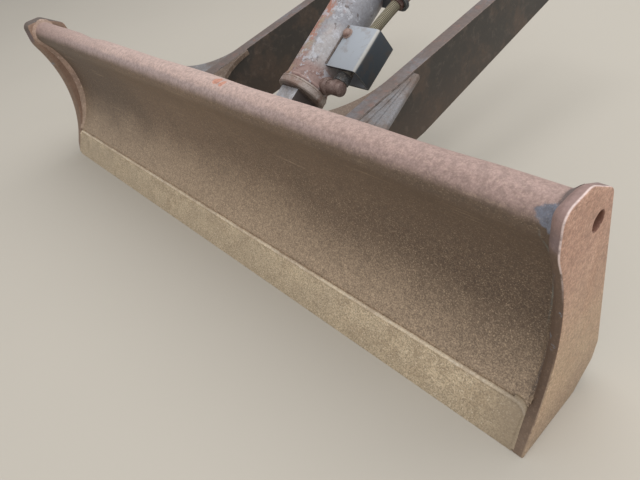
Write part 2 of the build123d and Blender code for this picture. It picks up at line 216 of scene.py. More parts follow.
class Strip:
    """Sheet grown edge by edge in the side view, as metal is folded."""

    def __init__(self, name: str, width: float, middle: float, start: Point, cuts: int = 0) -> None:
        """Lay the first edge across the blade.

        Args:
            name: Name of the new object.
            width: Length of the edge in millimetres.
            middle: Place of its middle across the blade.
            start: Place in the side view.
            cuts: Points added along the edge.
        """
        Bench.clear()
        bpy.ops.mesh.primitive_plane_add(size=1, location=(0, 0, 0))
        self.obj = bpy.context.active_object
        self.obj.name = name
        self.place = start
        self.first = start
        Bench.open(self.obj)
        Bench.pick(self.obj, lambda v: v.co.y > 0)
        bpy.ops.mesh.delete(type="VERT")
        bpy.ops.mesh.select_all(action="SELECT")
        bpy.ops.transform.translate(value=(0, 0.5, 0))
        bpy.ops.transform.resize(value=(width * MM, 1, 1), center_override=(0, 0, 0))
        bpy.ops.transform.translate(value=at(middle, *start))
        if cuts:
            bpy.ops.mesh.select_all(action="SELECT")
            bpy.ops.mesh.subdivide(number_cuts=cuts)
            bpy.ops.mesh.select_all(action="SELECT")

    def line(self, end: Point) -> "Strip":
        """Extrude the last edge straight to a point."""
        shift = Vector((0, end[0] - self.place[0], end[1] - self.place[1])) * MM
        if shift.length > 1e-6:
            bpy.ops.mesh.extrude_region_move(TRANSFORM_OT_translate={"value": shift})
        self.place = end
        return self

    def arc(self, centre: Point, turn: float, steps: int) -> "Strip":
        """Spin the last edge about a centre, by degrees from +back towards +up."""
        bpy.ops.mesh.spin(steps=steps, angle=-math.radians(turn), center=at(0, *centre), axis=(1, 0, 0))
        radius = math.dist(centre, self.place)
        begin = math.degrees(math.atan2(self.place[1] - centre[1], self.place[0] - centre[0]))
        self.place = polar(centre, radius, begin + turn)
        return self

    def outline(self, points: Sequence[Point], radii: Sequence[float]) -> "Strip":
        """Follow corners with rounded turns and come back to the first point.

        Args:
            points: Corners after the start, in order.
            radii: Rounding at each of those corners.

        Returns:
            The strip, closed but with open ends.
        """
        route = [self.place, *points, self.first]
        for k, radius in enumerate(radii, 1):
            before, corner, after = (Vector(route[k + s]) for s in (-1, 0, 1))
            a, b = (before - corner).normalized(), (after - corner).normalized()
            half = a.angle(b) / 2
            reach = radius / math.tan(half)
            if radius < 0.5:
                self.line(tuple(corner))
                continue
            self.line(tuple(corner + a * reach))
            centre = corner + (a + b).normalized() * (radius / math.sin(half))
            turn = 180 - math.degrees(2 * half)
            sign = 1 if a.x * b.y - a.y * b.x < 0 else -1
            self.arc(tuple(centre), sign * turn, max(4, int(turn / 5)))
        self.line(self.first)
        return self

    def cap(self) -> "Strip":
        """Merge the seam and fill both ends."""
        bpy.ops.mesh.select_all(action="SELECT")
        bpy.ops.mesh.remove_doubles(threshold=2e-5)
        shape = bmesh.from_edit_mesh(self.obj.data)
        xs = [v.co.x for v in shape.verts]
        for end in (min(xs), max(xs)):
            Bench.pick(self.obj, lambda e, x=end: all(abs(v.co.x - x) < 1e-6 for v in e.verts), "EDGE")
            bpy.ops.mesh.edge_face_add()
        bpy.ops.mesh.select_all(action="SELECT")
        bpy.ops.mesh.normals_make_consistent(inside=False)
        return self

    def done(self) -> bpy.types.Object:
        """Leave edit mode and hand over the object."""
        Bench.clear()
        return self.obj


def lathe(name: str, profile: Sequence[Point], place: Matrix, steps: int = 48) -> bpy.types.Object:
    """Turn a profile about the Y axis.

    Args:
        name: Name of the new object.
        profile: (along, radius) points in millimetres, walked with the metal on one side.
        place: Place of the turned piece.
        steps: Faces round the turn.

    Returns:
        The closed solid at its place.
    """
    Bench.clear()
    bpy.ops.mesh.primitive_plane_add(size=1, location=(0, 0, 0))
    obj = bpy.context.active_object
    obj.name = name
    Bench.open(obj)
    Bench.pick(obj, lambda v: v.co.y > 0 or v.co.x > 0)
    bpy.ops.mesh.delete(type="VERT")
    bpy.ops.mesh.select_all(action="SELECT")
    first = Vector((0, profile[0][0], profile[0][1])) * MM
    bpy.ops.transform.translate(value=first - Vector((-0.5, -0.5, 0)))
    for before, point in zip(profile, profile[1:]):
        shift = Vector((0, point[0] - before[0], point[1] - before[1])) * MM
        bpy.ops.mesh.extrude_region_move(TRANSFORM_OT_translate={"value": shift})
    bpy.ops.mesh.select_all(action="SELECT")
    bpy.ops.mesh.spin(steps=steps, angle=2 * math.pi, center=(0, 0, 0), axis=(0, 1, 0))
    Bench.clear()
    obj.matrix_world = place
    Bench.settle(obj)
    return obj


def rounded_copy(node: str, width: float, segments: int = 2) -> bpy.types.Object:
    """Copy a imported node's shape, merge its loose triangles and round its edges.

    Args:
        node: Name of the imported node.
        width: Rounding in millimetres.
        segments: Faces across the rounding.

    Returns:
        The new object.
    """
    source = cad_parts[node]
    obj = bpy.data.objects.new(node + "_worn", source.data.copy())
    bpy.context.scene.collection.objects.link(obj)
    obj.data.materials.clear()
    Bench.open(obj)
    bpy.ops.mesh.select_all(action="SELECT")
    bpy.ops.mesh.remove_doubles(threshold=2e-6)
    bpy.ops.mesh.dissolve_limited(angle_limit=math.radians(0.6))
    Bench.clear()
    if width:
        Bench.bevel(obj, width, segments)
    return obj


@dataclass
class Bead:
    """Run of weld metal with its ripples."""

    name: str
    radius: float = 4.0
    pitch: float = 5.0
    sides: int = 8
    ripple: float = 0.16

    def run(self, points: Sequence[Vector]) -> bpy.types.Object:
        """Lay the bead along points.

        Args:
            points: Corners of the route in the row frame, in metres.

        Returns:
            The bead as an object.
        """
        Bench.clear()
        begin = points[0]
        heading = (points[1] - begin).normalized()
        bpy.ops.mesh.primitive_circle_add(vertices=self.sides, radius=self.radius * MM, fill_type="NGON",
                                          location=begin, rotation=heading.to_track_quat("Z", "Y").to_euler())
        obj = bpy.context.active_object
        obj.name = self.name
        bpy.ops.object.transform_apply(location=True, rotation=True, scale=True)
        Bench.open(obj)
        bpy.ops.mesh.select_all(action="SELECT")
        size, place, count = 1.0, begin.copy(), 0
        for start, end in zip(points, points[1:]):
            way = end - start
            steps = max(1, round(way.length / (self.pitch * MM / 2)))
            turn = heading.rotation_difference(way.normalized())
            if turn.angle > 1e-3:
                spin = turn.to_matrix().to_4x4()
                shape = bmesh.from_edit_mesh(obj.data)
                for v in shape.verts:
                    if v.select:
                        v.co = spin @ (v.co - place) + place
                heading = way.normalized()
            for _ in range(steps):
                count += 1
                place = place + way / steps
                ripple = 1.0 if count % 2 else 1.0 - self.ripple
                ripple += self.ripple * (0.44 * math.sin(count * 2.399) + 0.31 * math.sin(count * 0.71))
                bpy.ops.mesh.extrude_region_move(TRANSFORM_OT_translate={"value": way / steps})
                factor = ripple / size
                bpy.ops.transform.resize(value=(factor,) * 3, center_override=place)
                size = ripple
        Bench.clear()
        Bench.settle(obj, merge=1e-6)
        return obj

    def straight(self, start: Vector, end: Vector) -> bpy.types.Object:
        """Lay a long straight bead by repeating one short stretch.

        Args:
            start: One end in the row frame, in metres.
            end: The other end.

        Returns:
            The bead as an object.
        """
        way = end - start
        count = max(1, int(way.length / (12 * self.pitch * MM)))
        step = way / count
        obj = self.run([start, start + step])
        if count > 1:
            Bench.modify(obj, "ARRAY", count=count, use_relative_offset=False, use_constant_offset=True,
                         constant_offset_displace=step)
        return obj


# ---------------------------------------------------------------- finishes


def paint(red: float, green: float, blue: float) -> Colour:
    """Linear colour from display values of 0 to 255."""
    return tuple(((v / 255 + 0.055) / 1.055) ** 2.4 for v in (red, green, blue))


class Net:
    """Short words for the nodes of one tree."""

    def __init__(self, tree: bpy.types.NodeTree) -> None:
        """Keep the tree that the nodes go into."""
        self.tree = tree

    def add(self, kind: str, inputs: Optional[dict] = None, **settings: object) -> bpy.types.Node:
        """Add a node.

        Args:
            kind: Blender's name of the node, without its leading ShaderNode.
            inputs: Sockets by name or number, each with a value or another socket.
            settings: The node's own options.

        Returns:
            The new node.
        """
        node = self.tree.nodes.new("ShaderNode" + kind)
        for name, value in settings.items():
            setattr(node, name, value)
        for key, value in (inputs or {}).items():
            socket = node.inputs[key]
            if isinstance(value, bpy.types.NodeSocket):
                self.tree.links.new(value, socket)
            elif socket.type == "RGBA":
                socket.default_value = (*value[:3], 1.0)
            else:
                socket.default_value = value
        return node

    def calc(self, operation: str, *values: object) -> bpy.types.NodeSocket:
        """Result of a Math node."""
        return self.add("Math", dict(enumerate(values)), operation=operation).outputs[0]

    def span(self, value: object, low: object, high: object) -> bpy.types.NodeSocket:
        """Smooth 0 to 1 as the value goes from low to high."""
        values = {"Value": value, "From Min": low, "From Max": high}
        return self.add("MapRange", values, interpolation_type="SMOOTHSTEP").outputs[0]

    def mix(self, factor: object, first: object, second: object, blend: str = "MIX") -> bpy.types.NodeSocket:
        """Mix of two colours."""
        values = {0: factor, 6: first, 7: second}
        return self.add("Mix", values, data_type="RGBA", blend_type=blend).outputs[2]

    def noise(self, place: object, scale: object, detail: float = 3.0, rough: float = 0.55,
              distort: float = 0.0) -> bpy.types.NodeSocket:
        """Cloudy value between 0 and 1."""
        values = {"Vector": place, "Scale": scale, "Detail": detail, "Roughness": rough,
                  "Distortion": distort}
        return self.add("TexNoise", values).outputs[0]

    def shift(self, place: object, move: tuple = (0, 0, 0), turn: tuple = (0, 0, 0),
              stretch: tuple = (1, 1, 1)) -> bpy.types.NodeSocket:
        """Moved, turned and stretched coordinates."""
        values = {"Vector": place, "Location": move, "Rotation": turn, "Scale": stretch}
        return self.add("Mapping", values).outputs[0]

    def group(self, name: str, **inputs: object) -> bpy.types.NodeSocket:
        """First output of a shared effect, with its inputs by name."""
        node = self.add("Group")
        node.node_tree = Effects.get(name)
        for key, value in inputs.items():
            socket = node.inputs[key]
            if isinstance(value, bpy.types.NodeSocket):
                self.tree.links.new(value, socket)
            else:
                socket.default_value = value
        return node.outputs[0]


class Effects:
    """Shared effects, each a node group that is built once."""

    @staticmethod
    def get(name: str) -> bpy.types.NodeTree:
        """Find the group of that name, or build it."""
        if name not in bpy.data.node_groups:
            getattr(Effects, name)(name)
        return bpy.data.node_groups[name]

    @staticmethod
    def start(name: str, output: str, **inputs: float) -> tuple[Net, dict, bpy.types.Node]:
        """Make an empty group.

        Args:
            name: Name of the group.
            output: Name of its one output.
            inputs: Number inputs with their usual values; Place is always the first.

        Returns:
            Its net, its input sockets by name and its output node.
        """
        tree = bpy.data.node_groups.new(name, "ShaderNodeTree")
        tree.interface.new_socket(name="Place", in_out="INPUT", socket_type="NodeSocketVector")
        for key, value in inputs.items():
            made = tree.interface.new_socket(name=key, in_out="INPUT", socket_type="NodeSocketFloat")
            made.default_value = value
        tree.interface.new_socket(name=output, in_out="OUTPUT", socket_type="NodeSocketFloat")
        entry = tree.nodes.new("NodeGroupInput")
        leave = tree.nodes.new("NodeGroupOutput")
        return Net(tree), {socket.name: socket for socket in entry.outputs}, leave

    @staticmethod
    def mottle(name: str) -> None:
        """Cloudy patches with broken rims."""
        net, put, leave = Effects.start(name, "Mask", Scale=8.0, Low=0.45, High=0.6)
        broad = net.noise(put["Place"], put["Scale"], 4.0, 0.6, 0.4)
        fine = net.noise(put["Place"], net.calc("MULTIPLY", put["Scale"], 7.3), 3.0, 0.6)
        both = net.calc("ADD", net.calc("MULTIPLY", broad, 0.78), net.calc("MULTIPLY", fine, 0.22))
        net.tree.links.new(net.span(both, put["Low"], put["High"]), leave.inputs[0])

    @staticmethod
    def specks(name: str) -> None:
        """Single grains, a share of the cells of a scatter."""
        net, put, leave = Effects.start(name, "Mask", Scale=300.0, Share=0.3, Size=0.35)
        cells = net.add("TexVoronoi", {"Vector": put["Place"], "Scale": put["Scale"]})
        pick = net.add("SeparateColor", {0: cells.outputs["Color"]}).outputs[0]
        chosen = net.calc("LESS_THAN", pick, put["Share"])
        inside = net.span(cells.outputs["Distance"], net.calc("ADD", put["Size"], 0.12), put["Size"])
        net.tree.links.new(net.calc("MULTIPLY", chosen, inside), leave.inputs[0])

    @staticmethod
    def edges(name: str) -> None:
        """Rims and corners, found by the difference a rounding would make."""
        net, put, leave = Effects.start(name, "Mask", Width=0.003, Low=0.02, High=0.12)
        soft = net.add("Bevel", {"Radius": put["Width"]}, samples=6)
        sharp = net.add("NewGeometry")
        same = net.add("VectorMath", {0: soft.outputs[0], 1: sharp.outputs["Normal"]},
                       operation="DOT_PRODUCT").outputs["Value"]
        turn = net.calc("SUBTRACT", 1.0, same)
        broken = net.calc("MULTIPLY", turn, net.span(net.noise(put["Place"], 90.0, 4.0, 0.7), 0.3, 0.62))
        net.tree.links.new(net.span(broken, put["Low"], put["High"]), leave.inputs[0])

    @staticmethod
    def dust(name: str) -> None:
        """Earth that lies low down and thins out upwards."""
        net, put, leave = Effects.start(name, "Mask", Low=-0.3, High=-0.1, Patch=0.5)
        height = net.add("SeparateXYZ", {0: put["Place"]}).outputs[2]
        ragged = net.calc("MULTIPLY", net.calc("SUBTRACT", net.noise(put["Place"], 9.0, 5.0, 0.62), 0.5),
                          net.calc("MULTIPLY", put["Patch"], 0.5))
        lie = net.span(net.calc("ADD", height, ragged), put["High"], put["Low"])
        net.tree.links.new(lie, leave.inputs[0])

    @staticmethod
    def scratches(name: str) -> None:
        """Thin broken lines along the first axis."""
        net, put, leave = Effects.start(name, "Mask", Scale=10.0, Low=0.66, High=0.72)
        drawn = net.shift(put["Place"], stretch=(1.0, 22.0, 22.0))
        lines = net.noise(drawn, put["Scale"], 2.0, 0.4, 0.2)
        kept = net.span(net.noise(put["Place"], 12.0, 2.0), 0.42, 0.6)
        lines = net.calc("MULTIPLY", net.span(lines, put["Low"], put["High"]), kept)
        net.tree.links.new(lines, leave.inputs[0])

    @staticmethod
    def relief(name: str) -> None:
        """Height of rusted and pitted steel."""
        net, put, leave = Effects.start(name, "Height", Grain=1.0, Pits=1.0)
        grain = net.noise(put["Place"], 420.0, 4.0, 0.65)
        wave = net.noise(put["Place"], 38.0, 4.0, 0.6)
        pits = net.add("TexVoronoi", {"Vector": put["Place"], "Scale": 130.0}).outputs["Distance"]
        holes = net.calc("MULTIPLY", net.span(pits, 0.2, 0.0), net.span(wave, 0.52, 0.66))
        total = net.calc("ADD", net.calc("MULTIPLY", grain, put["Grain"]), net.calc("MULTIPLY", wave, 0.7))
        total = net.calc("SUBTRACT", total, net.calc("MULTIPLY", holes, put["Pits"]))
        net.tree.links.new(total, leave.inputs[0])


@dataclass
class Skin:
    """A material in the making: its net, its coordinates and its shader."""

    material: bpy.types.Material
    net: Net
    place: bpy.types.NodeSocket
    normal: bpy.types.NodeSocket
    uv: bpy.types.NodeSocket
    shader: bpy.types.Node

    @staticmethod
    def start(name: str) -> "Skin":
        """Make an empty material with its coordinates ready."""
        material = bpy.data.materials.new(name)
        material.use_nodes = True
        net = Net(material.node_tree)
        shader = material.node_tree.nodes["Principled BSDF"]
        where = net.add("TexCoord")
        return Skin(material, net, where.outputs["Object"], where.outputs["Normal"],
                    where.outputs["UV"], shader)

    def axes(self) -> tuple:
        """The three coordinates apart."""
        return tuple(self.net.add("SeparateXYZ", {0: self.place}).outputs)

    def facing(self, way: tuple, low: float = 0.3, high: float = 0.8) -> bpy.types.NodeSocket:
        """Mask of what looks a given way."""
        dot = self.net.add("VectorMath", {0: self.normal, 1: way}, operation="DOT_PRODUCT").outputs["Value"]
        return self.net.span(dot, low, high)

    def close(self, colour: object, rough: object, height: object, depth: float = 0.4,
              metal: object = 0.0, bump: float = 0.5) -> bpy.types.Material:
        """Feed the shader.

        Args:
            colour: Base colour.
            rough: Roughness.
            height: Height of the relief.
            depth: Depth of the relief in millimetres.
            metal: Metallic.
            bump: Strength of the relief.

        Returns:
            The finished material.
        """
        links = self.material.node_tree.links
        for name, value in (("Base Color", colour), ("Roughness", rough), ("Metallic", metal)):
            if isinstance(value, bpy.types.NodeSocket):
                links.new(value, self.shader.inputs[name])
            else:
                self.shader.inputs[name].default_value = value
        raised = self.net.add("Bump", {"Strength": bump, "Distance": depth * MM, "Height": height})
        links.new(raised.outputs[0], self.shader.inputs["Normal"])
        return self.material


@dataclass(frozen=True)
class WornSteel:
    """Old painted or bare steel with stains, worn rims and earth on it, and optional painted shade on one side or
    towards a corner.
    """

    name: str
    base: Colour
    stain: Colour
    light: Colour
    rim: Colour = paint(196, 184, 172)
    earth: Colour = paint(158, 140, 120)
    stain_scale: float = 7.0
    stain_low: float = 0.44
    stain_high: float = 0.6
    light_scale: float = 26.0
    light_low: float = 0.52
    light_high: float = 0.68
    rim_width: float = 3.0
    rim_share: float = 0.75
    earth_low: float = -0.32
    earth_high: float = -0.16
    earth_share: float = 0.7
    rough: float = 0.62
    metal: float = 0.15
    depth: float = 0.45
    grain: float = 0.3
    # Colour of painted shade towards the left side plate, for the shade in that corner.
    corner: Optional[Colour] = None
    # Colour of painted shade on the side that faces +X.
    shaded: Optional[Colour] = None
    seed: float = 0.0

    def build(self) -> bpy.types.Material:
        """Make the material."""
        skin = Skin.start(self.name)
        net = skin.net
        place = net.shift(skin.place, move=(self.seed, self.seed * 0.7, self.seed * 1.3))
        stains = net.group("mottle", Place=place, Scale=self.stain_scale, Low=self.stain_low,
                           High=self.stain_high)
        lights = net.group("mottle", Place=place, Scale=self.light_scale, Low=self.light_low,
                           High=self.light_high)
        rims = net.group("edges", Place=place, Width=self.rim_width * MM, Low=0.015, High=0.1)
        earth = net.group("dust", Place=skin.place, Low=self.earth_low, High=self.earth_high, Patch=0.5)
        grains = net.group("specks", Place=place, Scale=420.0, Share=0.2, Size=0.34)
        pits = net.group("specks", Place=net.shift(place, move=(0.3, 0.1, 0.2)), Scale=340.0, Share=0.2,
                         Size=0.36)
        fine = net.noise(place, 160.0, 4.0, 0.65)
        colour = net.mix(stains, self.base, self.stain)
        colour = net.mix(net.calc("MULTIPLY", lights, 0.8), colour, self.light)
        shade = net.add("ValToRGB", {0: fine})
        shade.color_ramp.elements[0].position, shade.color_ramp.elements[1].position = 0.3, 0.7
        shade.color_ramp.elements[0].color = (0.74, 0.72, 0.7, 1)
        shade.color_ramp.elements[1].color = (1.0, 1.0, 1.0, 1)
        colour = net.mix(1.0, colour, shade.outputs[0], "MULTIPLY")
        colour = net.mix(net.calc("MULTIPLY", rims, self.rim_share), colour, self.rim)
        colour = net.mix(net.calc("MULTIPLY", earth, self.earth_share), colour, self.earth)
        colour = net.mix(net.calc("MULTIPLY", grains, self.grain), colour, self.rim)
        colour = net.mix(net.calc("MULTIPLY", pits, self.grain * 0.7), colour, tuple(c * 0.5 for c in self.stain))
        grit = net.noise(place, 430.0, 2.0, 0.7)
        colour = net.mix(net.calc("MULTIPLY", net.span(grit, 0.56, 0.38), self.grain), colour,
                         tuple(c * 0.4 for c in self.stain))
        # Painted shade: faces turned towards +X are darkened.
        if self.shaded:
            colour = net.mix(skin.facing((1, 0, 0), 0.5, 0.9), colour, self.shaded)
        # Painted shade: darker towards the left side plate, from 0.65 to 0.735 m across, for the shade in that
        # corner.
        if self.corner:
            across = net.add("SeparateXYZ", {0: skin.place}).outputs[0]
            colour = net.mix(net.calc("MULTIPLY", net.span(across, 0.65, 0.735), 0.75), colour, self.corner)
        rough = net.calc("ADD", self.rough - 0.12, net.calc("MULTIPLY", fine, 0.22))
        rough = net.calc("SUBTRACT", rough, net.calc("MULTIPLY", rims, 0.15))
        metal = net.calc("MULTIPLY", rims, self.metal)
        height = net.group("relief", Place=place, Grain=0.5, Pits=1.0)
        return skin.close(colour, rough, height, self.depth, metal)


@dataclass(frozen=True)
class BladeFace:
    """Scoured hollow face: pale pink rolled top, dark front, earth low down."""

    name: str = "blade_face"
    top: Colour = paint(208, 182, 173)
    front: Colour = paint(133, 111, 91)
    back: Colour = paint(92, 80, 70)
    sand: Colour = paint(202, 178, 151)
    bare: Colour = paint(124, 128, 142)
    splash: Colour = paint(206, 132, 104)
    band_low: float = 0.036
    band_high: float = 0.053

    def build(self) -> bpy.types.Material:
        """Make the material."""
        skin = Skin.start(self.name)
        net, place = skin.net, skin.place
        across, back, up = skin.axes()
        ragged = net.calc("MULTIPLY", net.calc("SUBTRACT", net.noise(place, 34.0, 4.0, 0.6), 0.5), 0.009)
        band = net.span(net.calc("ADD", up, ragged), self.band_low, self.band_high)
        clouds = net.group("mottle", Place=place, Scale=5.0, Low=0.4, High=0.62)
        blotch = net.group("mottle", Place=place, Scale=20.0, Low=0.5, High=0.68)
        streak = net.group("scratches", Place=place, Scale=7.0, Low=0.62, High=0.74)
        front = net.mix(clouds, self.front, tuple(c * 0.84 for c in self.front))
        front = net.mix(net.calc("MULTIPLY", blotch, 0.3), front, paint(134, 113, 95))
        low = net.span(up, 0.02, -0.24)
        near = net.span(across, -0.9, 0.75)
        left = net.span(across, 0.0, 0.7)
        front = net.mix(net.calc("MULTIPLY", left, 0.85), front, paint(99, 82, 68))
        front = net.mix(net.calc("MULTIPLY", net.span(across, -0.1, -0.6), 0.85), front, paint(98, 82, 69))
        drift = net.calc("MULTIPLY", net.calc("SUBTRACT", net.noise(place, 9.0, 5.0, 0.62), 0.5), 0.09)
        level = net.calc("ADD", net.calc("ADD", up, drift), net.calc("MULTIPLY", left, 0.026))
        earth = net.span(level, -0.1, -0.25)
        front = net.mix(net.calc("MULTIPLY", earth, 0.82), front, self.sand)
        share = net.calc("ADD", 0.04, net.calc("MULTIPLY", net.calc("MULTIPLY", low, near), 0.5))
        grains = net.group("specks", Place=place, Scale=820.0, Share=share, Size=0.38)
        front = net.mix(net.calc("MULTIPLY", grains, 0.36), front, paint(206, 184, 156))
        front = net.mix(net.calc("MULTIPLY", streak, 0.25), front, self.sand)
        pale = net.group("mottle", Place=place, Scale=9.0, Low=0.38, High=0.66)
        top = net.mix(net.calc("MULTIPLY", pale, 0.35), self.top, paint(184, 158, 152))
        lilac = net.span(net.calc("ADD", up, ragged), 0.0585, self.band_high)
        top = net.mix(net.calc("MULTIPLY", lilac, 0.7), top, paint(170, 152, 150))
        dark = net.group("mottle", Place=place, Scale=260.0, Low=0.54, High=0.68)
        top = net.mix(net.calc("MULTIPLY", dark, 0.36), top, paint(136, 112, 102))
        ends = net.calc("MAXIMUM", net.span(across, 0.1, 0.68), net.span(across, -0.25, -0.72))
        top = net.mix(net.calc("MULTIPLY", ends, 0.85), top, paint(172, 145, 137))
        thin = net.calc("MULTIPLY", net.span(across, 0.7178, 0.719), net.span(across, 0.7216, 0.7204))
        thin = net.calc("MULTIPLY", thin, net.calc("MULTIPLY", net.span(up, -0.16, -0.1), net.span(up, 0.04, 0.02)))
        thin = net.calc("MULTIPLY", thin, net.span(net.noise(place, 50.0, 3.0, 0.6), 0.36, 0.5))
        front = net.mix(net.calc("MULTIPLY", thin, 0.6), front, paint(124, 132, 128))
        colour = net.mix(band, front, top)
        # Painted shade: a darker strip on the face next to the left side plate, in the corner by the plate.
        corner_shade = net.calc("MULTIPLY", net.span(across, 0.7255, 0.731), net.span(back, -0.964, -0.945))
        colour = net.mix(net.calc("MULTIPLY", corner_shade, 0.75), colour, paint(92, 84, 86))
        spot = self.patch(net, place, (0.741, -0.955, 0.049), (0.031, 0.02, 0.014), 0.5)
        colour = net.mix(spot, colour, self.bare)
        for middle, size in (((0.137, -0.932, 0.0635), (0.011, 0.01, 0.02)),
                             ((0.156, -0.933, 0.0635), (0.006, 0.009, 0.02))):
            colour = net.mix(net.calc("MULTIPLY", self.patch(net, place, middle, size, 0.9), 0.75),
                             colour, self.splash)
        rear = net.span(back, -0.888, -0.88)
        hidden = net.calc("MULTIPLY", rear, net.span(up, 0.02, 0.0))
        colour = net.mix(hidden, colour, self.back)
        fine = net.noise(place, 150.0, 4.0, 0.65)
        colour = net.mix(net.calc("MULTIPLY", net.span(fine, 0.62, 0.35), 0.28), colour, paint(60, 50, 44))
        grit = net.noise(place, 430.0, 2.0, 0.7)
        share = net.calc("ADD", 0.18, net.calc("MULTIPLY", low, 0.26))
        colour = net.mix(net.calc("MULTIPLY", net.span(grit, 0.56, 0.38), share), colour, paint(74, 54, 38))
        colour = net.mix(net.calc("MULTIPLY", net.span(grit, 0.56, 0.7), share), colour, paint(228, 202, 170))
        rough = net.calc("ADD", 0.5, net.calc("MULTIPLY", fine, 0.2))
        height = net.group("relief", Place=place, Grain=0.55, Pits=0.5)
        return skin.close(colour, rough, height, 0.4, 0.0)

    @staticmethod
    def patch(net: Net, place: object, middle: tuple, size: tuple, ragged: float) -> bpy.types.NodeSocket:
        """Mask of one worn spot.

        Args:
            net: Net of the material.
            place: Its coordinates.
            middle: Middle of the spot, in metres.
            size: Half its size each way, in metres.
            ragged: How broken its rim is.

        Returns:
            The mask.
        """
        near = net.shift(place, move=tuple(-m / s for m, s in zip(middle, size)),
                         stretch=tuple(1 / s for s in size))
        reach = net.add("VectorMath", {0: near}, operation="LENGTH").outputs["Value"]
        wobble = net.calc("MULTIPLY", net.calc("SUBTRACT", net.noise(place, 70.0, 4.0, 0.6), 0.5), 2 * ragged)
        return net.span(net.calc("ADD", reach, wobble), 1.0, 0.8)


@dataclass(frozen=True)
class SidePlate:
    """Side plate: mottled orange-tan outside, mauve nose, dark front rim with a bright line."""

    name: str = "side_plate"
    rust: Colour = paint(184, 138, 114)
    nose: Colour = paint(150, 124, 118)
    rim: Colour = paint(98, 78, 64)
    inside: Colour = paint(164, 136, 118)
    bare: Colour = paint(132, 140, 150)

    def build(self) -> bpy.types.Material:
        """Make the material."""
        skin = Skin.start(self.name)
        net, place = skin.net, skin.place
        across, back, up = skin.axes()
        out = net.span(net.calc("ABSOLUTE", across), 0.7488, 0.7496)
        rust = net.group("mottle", Place=place, Scale=13.0, Low=0.4, High=0.64)
        small = net.group("mottle", Place=place, Scale=230.0, Low=0.44, High=0.64)
        pale = net.group("mottle", Place=place, Scale=150.0, Low=0.5, High=0.66)
        plain = net.mix(net.span(up, -0.22, 0.04), paint(201, 174, 143), paint(205, 162, 141))
        flat = net.mix(net.calc("MULTIPLY", rust, 0.3), plain, self.rust)
        flat = net.mix(net.calc("MULTIPLY", small, 0.24), flat, paint(156, 128, 114))
        flat = net.mix(net.calc("MULTIPLY", pale, 0.2), flat, paint(216, 190, 168))
        edge = net.mix(net.calc("MULTIPLY", small, 0.35), self.rim, paint(124, 100, 82))
        ragged = net.calc("MULTIPLY", net.calc("SUBTRACT", net.noise(place, 40.0, 4.0, 0.6), 0.5), 0.03)
        high = net.span(net.calc("ADD", up, ragged), 0.018, 0.034)
        edge = net.mix(net.span(across, 0.0, -0.1), edge, paint(142, 120, 104))
        nose = net.mix(net.span(across, 0.0, -0.1), self.nose, paint(102, 92, 86))
        edge = net.mix(high, edge, nose)
        shaded = net.calc("MULTIPLY", net.span(net.calc("ADD", up, ragged), 0.062, 0.04), high)
        edge = net.mix(net.calc("MULTIPLY", shaded, 0.75), edge, paint(118, 102, 102))
        spots = net.group("mottle", Place=place, Scale=34.0, Low=0.6, High=0.66)
        edge = net.mix(net.calc("MULTIPLY", spots, 0.8), edge, self.bare)
        inner = net.mix(net.calc("MULTIPLY", rust, 0.5), self.inside, paint(140, 114, 98))
        front = net.calc("MAXIMUM", skin.facing((0, -1, 0), 0.25, 0.5), skin.facing((0, 0, 1), 0.3, 0.6))
        worn = net.calc("MAXIMUM", net.span(net.calc("ADD", up, ragged), -0.07, 0.02),
                        net.calc("MULTIPLY", net.span(up, -0.14, -0.2), 0.7))
        line = net.calc("MULTIPLY", net.span(net.calc("ABSOLUTE", across), 0.7466, 0.7482), worn)
        bright = net.mix(net.span(up, -0.1, -0.04), paint(190, 166, 140), paint(232, 210, 204))
        broken = net.span(net.noise(place, 60.0, 4.0, 0.65), 0.3, 0.5)
        edge = net.mix(net.calc("MULTIPLY", line, broken), edge, bright)
        colour = net.mix(front, inner, edge)
        colour = net.mix(out, colour, flat)
        hole = net.shift(place, move=(0, 0.9 / 0.0125, -0.01854 / 0.0125), stretch=(0, 80.0, 80.0))
        ring = net.add("VectorMath", {0: hole}, operation="LENGTH").outputs["Value"]
        colour = net.mix(net.span(ring, 1.05, 0.95), colour, paint(120, 80, 64))
        earth = net.group("dust", Place=place, Low=-0.31, High=-0.2, Patch=0.2)
        colour = net.mix(net.calc("MULTIPLY", earth, 0.55), colour, paint(150, 130, 112))
        rims = net.group("edges", Place=place, Width=0.0022, Low=0.03, High=0.12)
        light = net.mix(net.span(up, -0.03, 0.03), paint(150, 126, 108), paint(232, 212, 202))
        colour = net.mix(net.calc("MULTIPLY", rims, 0.7), colour, light)
        fine = net.noise(place, 150.0, 4.0, 0.65)
        colour = net.mix(net.calc("MULTIPLY", net.span(fine, 0.6, 0.34), 0.2), colour, paint(70, 54, 46))
        grit = net.noise(place, 430.0, 2.0, 0.7)
        share = net.calc("ADD", 0.08, net.calc("MULTIPLY", out, 0.24))
        colour = net.mix(net.calc("MULTIPLY", net.span(grit, 0.56, 0.38), share), colour, paint(92, 70, 58))
        colour = net.mix(net.calc("MULTIPLY", net.span(grit, 0.56, 0.7), share), colour, paint(236, 210, 186))
        rough = net.calc("ADD", 0.52, net.calc("MULTIPLY", fine, 0.22))
        height = net.group("relief", Place=place, Grain=0.6, Pits=1.0)
        return skin.close(colour, rough, height, 0.5, net.calc("MULTIPLY", rims, 0.2))


